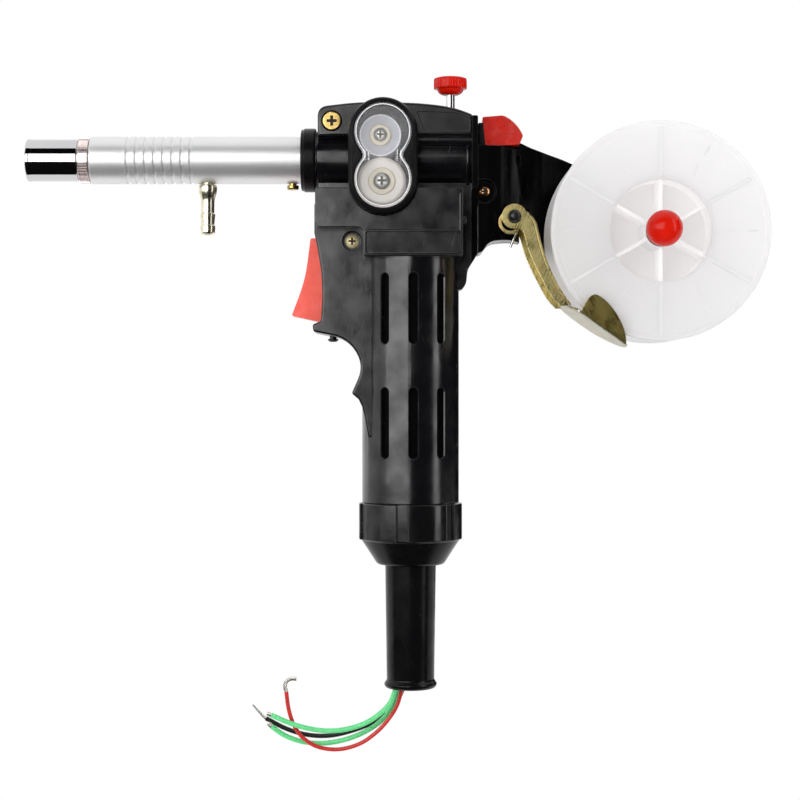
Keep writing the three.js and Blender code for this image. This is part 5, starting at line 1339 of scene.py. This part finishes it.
def build_spool():
    front, back = -22.5, 20.5
    middle = (front + back) / 2
    rim, drum, drum_bore, boss, bore = 50, 24.6, 23.2, 8, 4.4
    for name, node, outer, inner, out in (("spool_front_half", "spool_half_left", front, middle - 0.1, -1),
                                          ("spool_rear_half", "spool_half_right", back, middle + 0.1, 1)):
        face = outer - out * 0.55
        inside = outer - out * 2.2
        flange = [(drum_bore, face, 0.4), (drum, face - out * 0.02), (47.2, face, 0.4),
                  (48, outer - out * 0.05, 0.4), (48.6, outer, 0.3), (49.7, outer, 0.5),
                  (rim, outer - out * 0.6, 0.4), (rim, inside, 0.4), (drum_bore, inside)]
        hub = [(drum_bore, inside), (drum, inside), (drum, inner), (drum_bore, inner)]
        body = turned_ring(flange, "y", HUB, 192, 4)
        core = turned_ring([(bore, outer - out * 0.6), (7.6, outer - out * 0.6, 0.3),
                            (boss, outer - out, 0.3), (boss, inner), (bore, inner)], "y", HUB, 64)
        ribs, webs = [], [core, turned_ring(hub, "y", HUB, 128)]
        plates = [
            (7.5, 23.7, 0.8, outer - out * 1.2, inner, 6, 0, 0.4),
            (drum, 47.4, 0.9, face + out * 0.2, face - out * 0.4, 6, 0, 0.3),
            (29.5, 34, 0.42, face + out * 0.14, face - out * 0.4, 6, 30, 0.18),
            (39.5, 44, 0.42, face + out * 0.14, face - out * 0.4, 6, 30, 0.18),
        ]
        for start, end, half, y0, y1, copies, turn, edge in plates:
            plate = block(-half, half, min(y0, y1), max(y0, y1), start, end, edge)
            (webs if start < 20 else ribs).append(ring_of(plate, copies, "spool", start=turn, centre=HUB))
        low, high = (18.3, 19.5) if out > 0 else (-3.4, -2.2)
        webs.append(turned_ring([(7.5, low), (23.7, low), (23.7, high), (7.5, high)], "y", HUB, 128))
        make_piece(name, body, "spool", "spool", "milky_plastic", node, crease=40)
        make_piece(name + "_ribs", gather(*ribs), "spool_rib", "spool", "milky_plastic", crease=40)
        make_piece(name + "_webs", gather(*webs), "spool_core", "spool", "milky_plastic", crease=40)

    tip, rear, r = -41.6, -28.8, 8.2
    dome = [(r * math.sin(t), tip + r - r * math.cos(t)) for t in (1.72 * k / 20 for k in range(21))]
    ball = lathe(dome + [(7.5, rear - 2.2, 0.4), (7.2, rear - 0.4, 0.4), (6.6, rear, 0.3), (3.3, rear),
                         (3.3, -38.4), (0, -38.4)], "y", HUB, 96)
    tooth = slab([(-0.24, 7.3), (0.24, 7.3), (0.08, 8.15), (-0.08, 8.15)], rear - 3.6, rear - 0.5, 0.1, 1)
    teeth = ring_of(tooth, 48, "red", centre=HUB)
    make_piece("spool_ball_nut", gather(ball, teeth), "red", "spool_nut", "red_plastic", "spool_nut",
               crease=45)

    rod_profile = [(0, -38), (2.6, -38, 0.3), (3, -37.5, 0.3), (3, -24.5), (4, -24.5, 0.2), (4, 29.7),
                   (7, 29.7, 0.3), (7, 32.6, 0.5), (6, 33.4, 0.5), (0, 33.4)]
    make_piece("spool_spindle", lathe(rod_profile, "y", HUB, 64), "steel", "body", "steel", "spindle")
    washer = turned_ring([(4.3, -24.2), (7.6, -24.2, 0.3), (7.6, -23, 0.3), (4.3, -23)], "y", HUB, 96)
    make_piece("spool_thrust_washer", washer, "steel", "body", "steel", "spool_washer")
    coil = moved(spring(3.0, 5.0, 2.9, 0.5, "wire_steel"), -90, "X", (HUB[0], -27.9, HUB[2]))
    make_piece("spool_drag_spring", coil, "wire_steel", "body", "steel", "spool_spring", crease=80)


# ---------------------------------------------------------------- brake lever

# The brake lever's two edges (x, z), the Y reach of its cheeks, its sheet and its thumb plate.
LEVER_BACK = [(53.2, 76.6), (57, 72), (58.6, 66.5), (60.6, 59), (63.2, 51.6), (66.8, 44), (70.4, 38),
              (73.4, 34)]
LEVER_FRONT = [(68.4, 33.2), (64.4, 37.6), (60.4, 44.6), (56.4, 52.6), (53.4, 60), (51.3, 67), (48.2, 69.2)]
CHEEKS = (-16, 12)
SHEET = 1.2
PADDLE = {"from": Vector((71.9, 34.2)), "to": Vector((97.3, 16.1)), "front": -26, "back": 24}


def build_brake_lever():
    back = smooth_route(LEVER_BACK, 6)
    inner = offset_left(back, SHEET)
    x, _, z = EYE_OF_LEVER
    near, far = CHEEKS
    strip = slab(back + inner[::-1], near, far, 0.3, 2)
    cheek_line = [Vector((x, z + 5))] + inner + smooth_route(LEVER_FRONT, 6)
    cheeks = []
    for low in (near, far - SHEET):
        plate = fuse(slab(cheek_line, low, low + SHEET, 0.3, 2),
                     rod(5.8, low, low + SHEET, "y", EYE_OF_LEVER, 64, 0.3))
        cheeks.append(carve(plate, [lathe([(0, low - 1), (3.2, low - 1), (3.2, low + SHEET + 1),
                                           (0, low + SHEET + 1)], "y", EYE_OF_LEVER, 64)]))
    split = slab([(49.5, 68.4), (50.5, 67.6), (52.5, 62), (54.9, 55.6), (54.3, 55.5), (51.2, 62),
                  (49.2, 67.4)], near - 1, near + 2)
    cheeks[0] = carve(cheeks[0], [split])
    rim_at = (x - 1.8, 0, z - 2.5)
    rim = carve(rod(5.5, -14.7, -13.2, "y", rim_at, 64, 0.4), [rod(4, -16, -12, "y", rim_at)])
    start, way = PADDLE["from"], PADDLE["to"] - PADDLE["from"]
    length = way.length
    plan = unrepeated(
        [Vector((-1.4, near)), Vector((2.5, near))]
        + bezier((2.5, near), (3.1, PADDLE["front"] + 3), (3.7, PADDLE["front"]), (6, PADDLE["front"]), 8)
        + bezier((length - 1, PADDLE["front"]), (length + 5, PADDLE["front"] + 4), (length + 1, 8),
                 (length * 0.62, PADDLE["back"] - 2), 20)
        + bezier((length * 0.62, PADDLE["back"] - 2), (length * 0.4, PADDLE["back"] + 2), (0, PADDLE["back"]),
                 (-1.4, far), 14))
    plate = slab(plan, -SHEET, 0, 0.3, 2, axis="z")
    lean = Matrix.Rotation(math.atan2(-way.y, way.x), 4, "Y")
    plate.transform(Matrix.Translation((start.x, 0, start.y)) @ lean)
    tab_start, tab_end = start + way * 0.2, start + way
    tab_line = unrepeated([tab_start + Vector((-0.5, -0.8)), tab_start]
                          + bezier(tab_start, (79.4, 35.6), (81, 38), (83.6, 37.9), 12)
                          + bezier((83.6, 37.9), (88.4, 36.6), (95.4, 27.4), (97, 19.6), 16)
                          + [tab_end, tab_end + Vector((-0.5, -0.8))])
    tab = slab(tab_line, PADDLE["front"], PADDLE["front"] + SHEET, 0.3, 2)
    make_piece("spool_brake_lever", gather(fuse(strip, *cheeks), rim), "zinc", "brake", "zinc_yellow",
               "brake_lever", crease=35)
    make_piece("spool_brake_paddle", plate, "zinc_pale", "brake", "zinc_yellow", crease=35)
    make_piece("spool_brake_tab", tab, "zinc_worn", "brake", "zinc_yellow", crease=35)
    pin = lathe([(0, -19.4), (1.7, -19.2, 0.6), (2.9, -17.8, 0.8), (2.9, 13.4, 0.3), (0, 13.4)], "y",
                EYE_OF_LEVER, 64)
    make_piece("lever_hinge_pin", pin, "pin_black", "body", "black_abs", "brake_pin", crease=45)
    legs = [(46, -7.4, 60.6), (47.4, -7.5, 64.2), (49.6, -7.6, 69.2)]
    turns, steps, r = 4, 24, 4.1
    for i in range(turns * steps + 1):
        turn = 2 * math.pi * i / steps - 0.5
        legs.append((x + r * math.cos(turn), -7.8 - 4.6 * i / (turns * steps), z + r * math.sin(turn)))
    make_piece("lever_return_spring", wire(legs, 0.55, "wire_steel"), "wire_steel", "body", "steel",
               "brake_spring", crease=80)


# ---------------------------------------------------------------- screws


def build_screws():
    make_piece("head_cross_screw", flat_screw(*HEAD_SCREW, -13.8, 1.6, SHANK_END), "brass", "body", "brass",
               "shell_screw_head")
    # Each shell screw gets a dark insert in its cross recess: painted shade.
    for place, screw, depth in (("head", HEAD_SCREW, 1.7), ("web", WEB_SCREW, 1.4), ("arm", ARM_SCREW, 1.5)):
        make_piece(place + "_screw_recess", painted_recess_shade(*screw, depth), "recess", "body", "brass",
                   weighted=False)
    for place, screw, height, finish, slot in (("web", WEB_SCREW, 1.6, "pale_brass_painted_light", "brass"),
                                               ("arm", ARM_SCREW, 1.7, "copper", "copper")):
        make_piece(place + "_cross_screw", pan_screw(*screw, height, 1.6, SHANK_END), finish, "body", slot,
                   "shell_screw_" + place)
    uncut = lathe([(0, 17.2), (1.5, 17.2, 0.3), (2.5, 18, 0.3), (2.5, 18.6, 0.2), (1.6, 18.6), (1.6, 23.6),
                   (0, 23.6)], "z", (GUARD_SCREW_X, 0, 0), 48)
    screw = carve(uncut, [block(-39, -33, -0.3, 0.3, 16, 17.8)])
    make_piece("guard_pan_screw", screw, "pin_black", "body", "black_abs", "guard_screw")


run_leads()
dress_frame()
for build in (build_housing, build_bezel, build_window, build_arm, build_barrel, build_feed, build_controls,
              build_handle_end, build_spool, build_brake_lever, build_screws):
    build()
set_world()
lay_floor()
set_lights()
bpy.context.scene.view_settings.view_transform = "Standard"
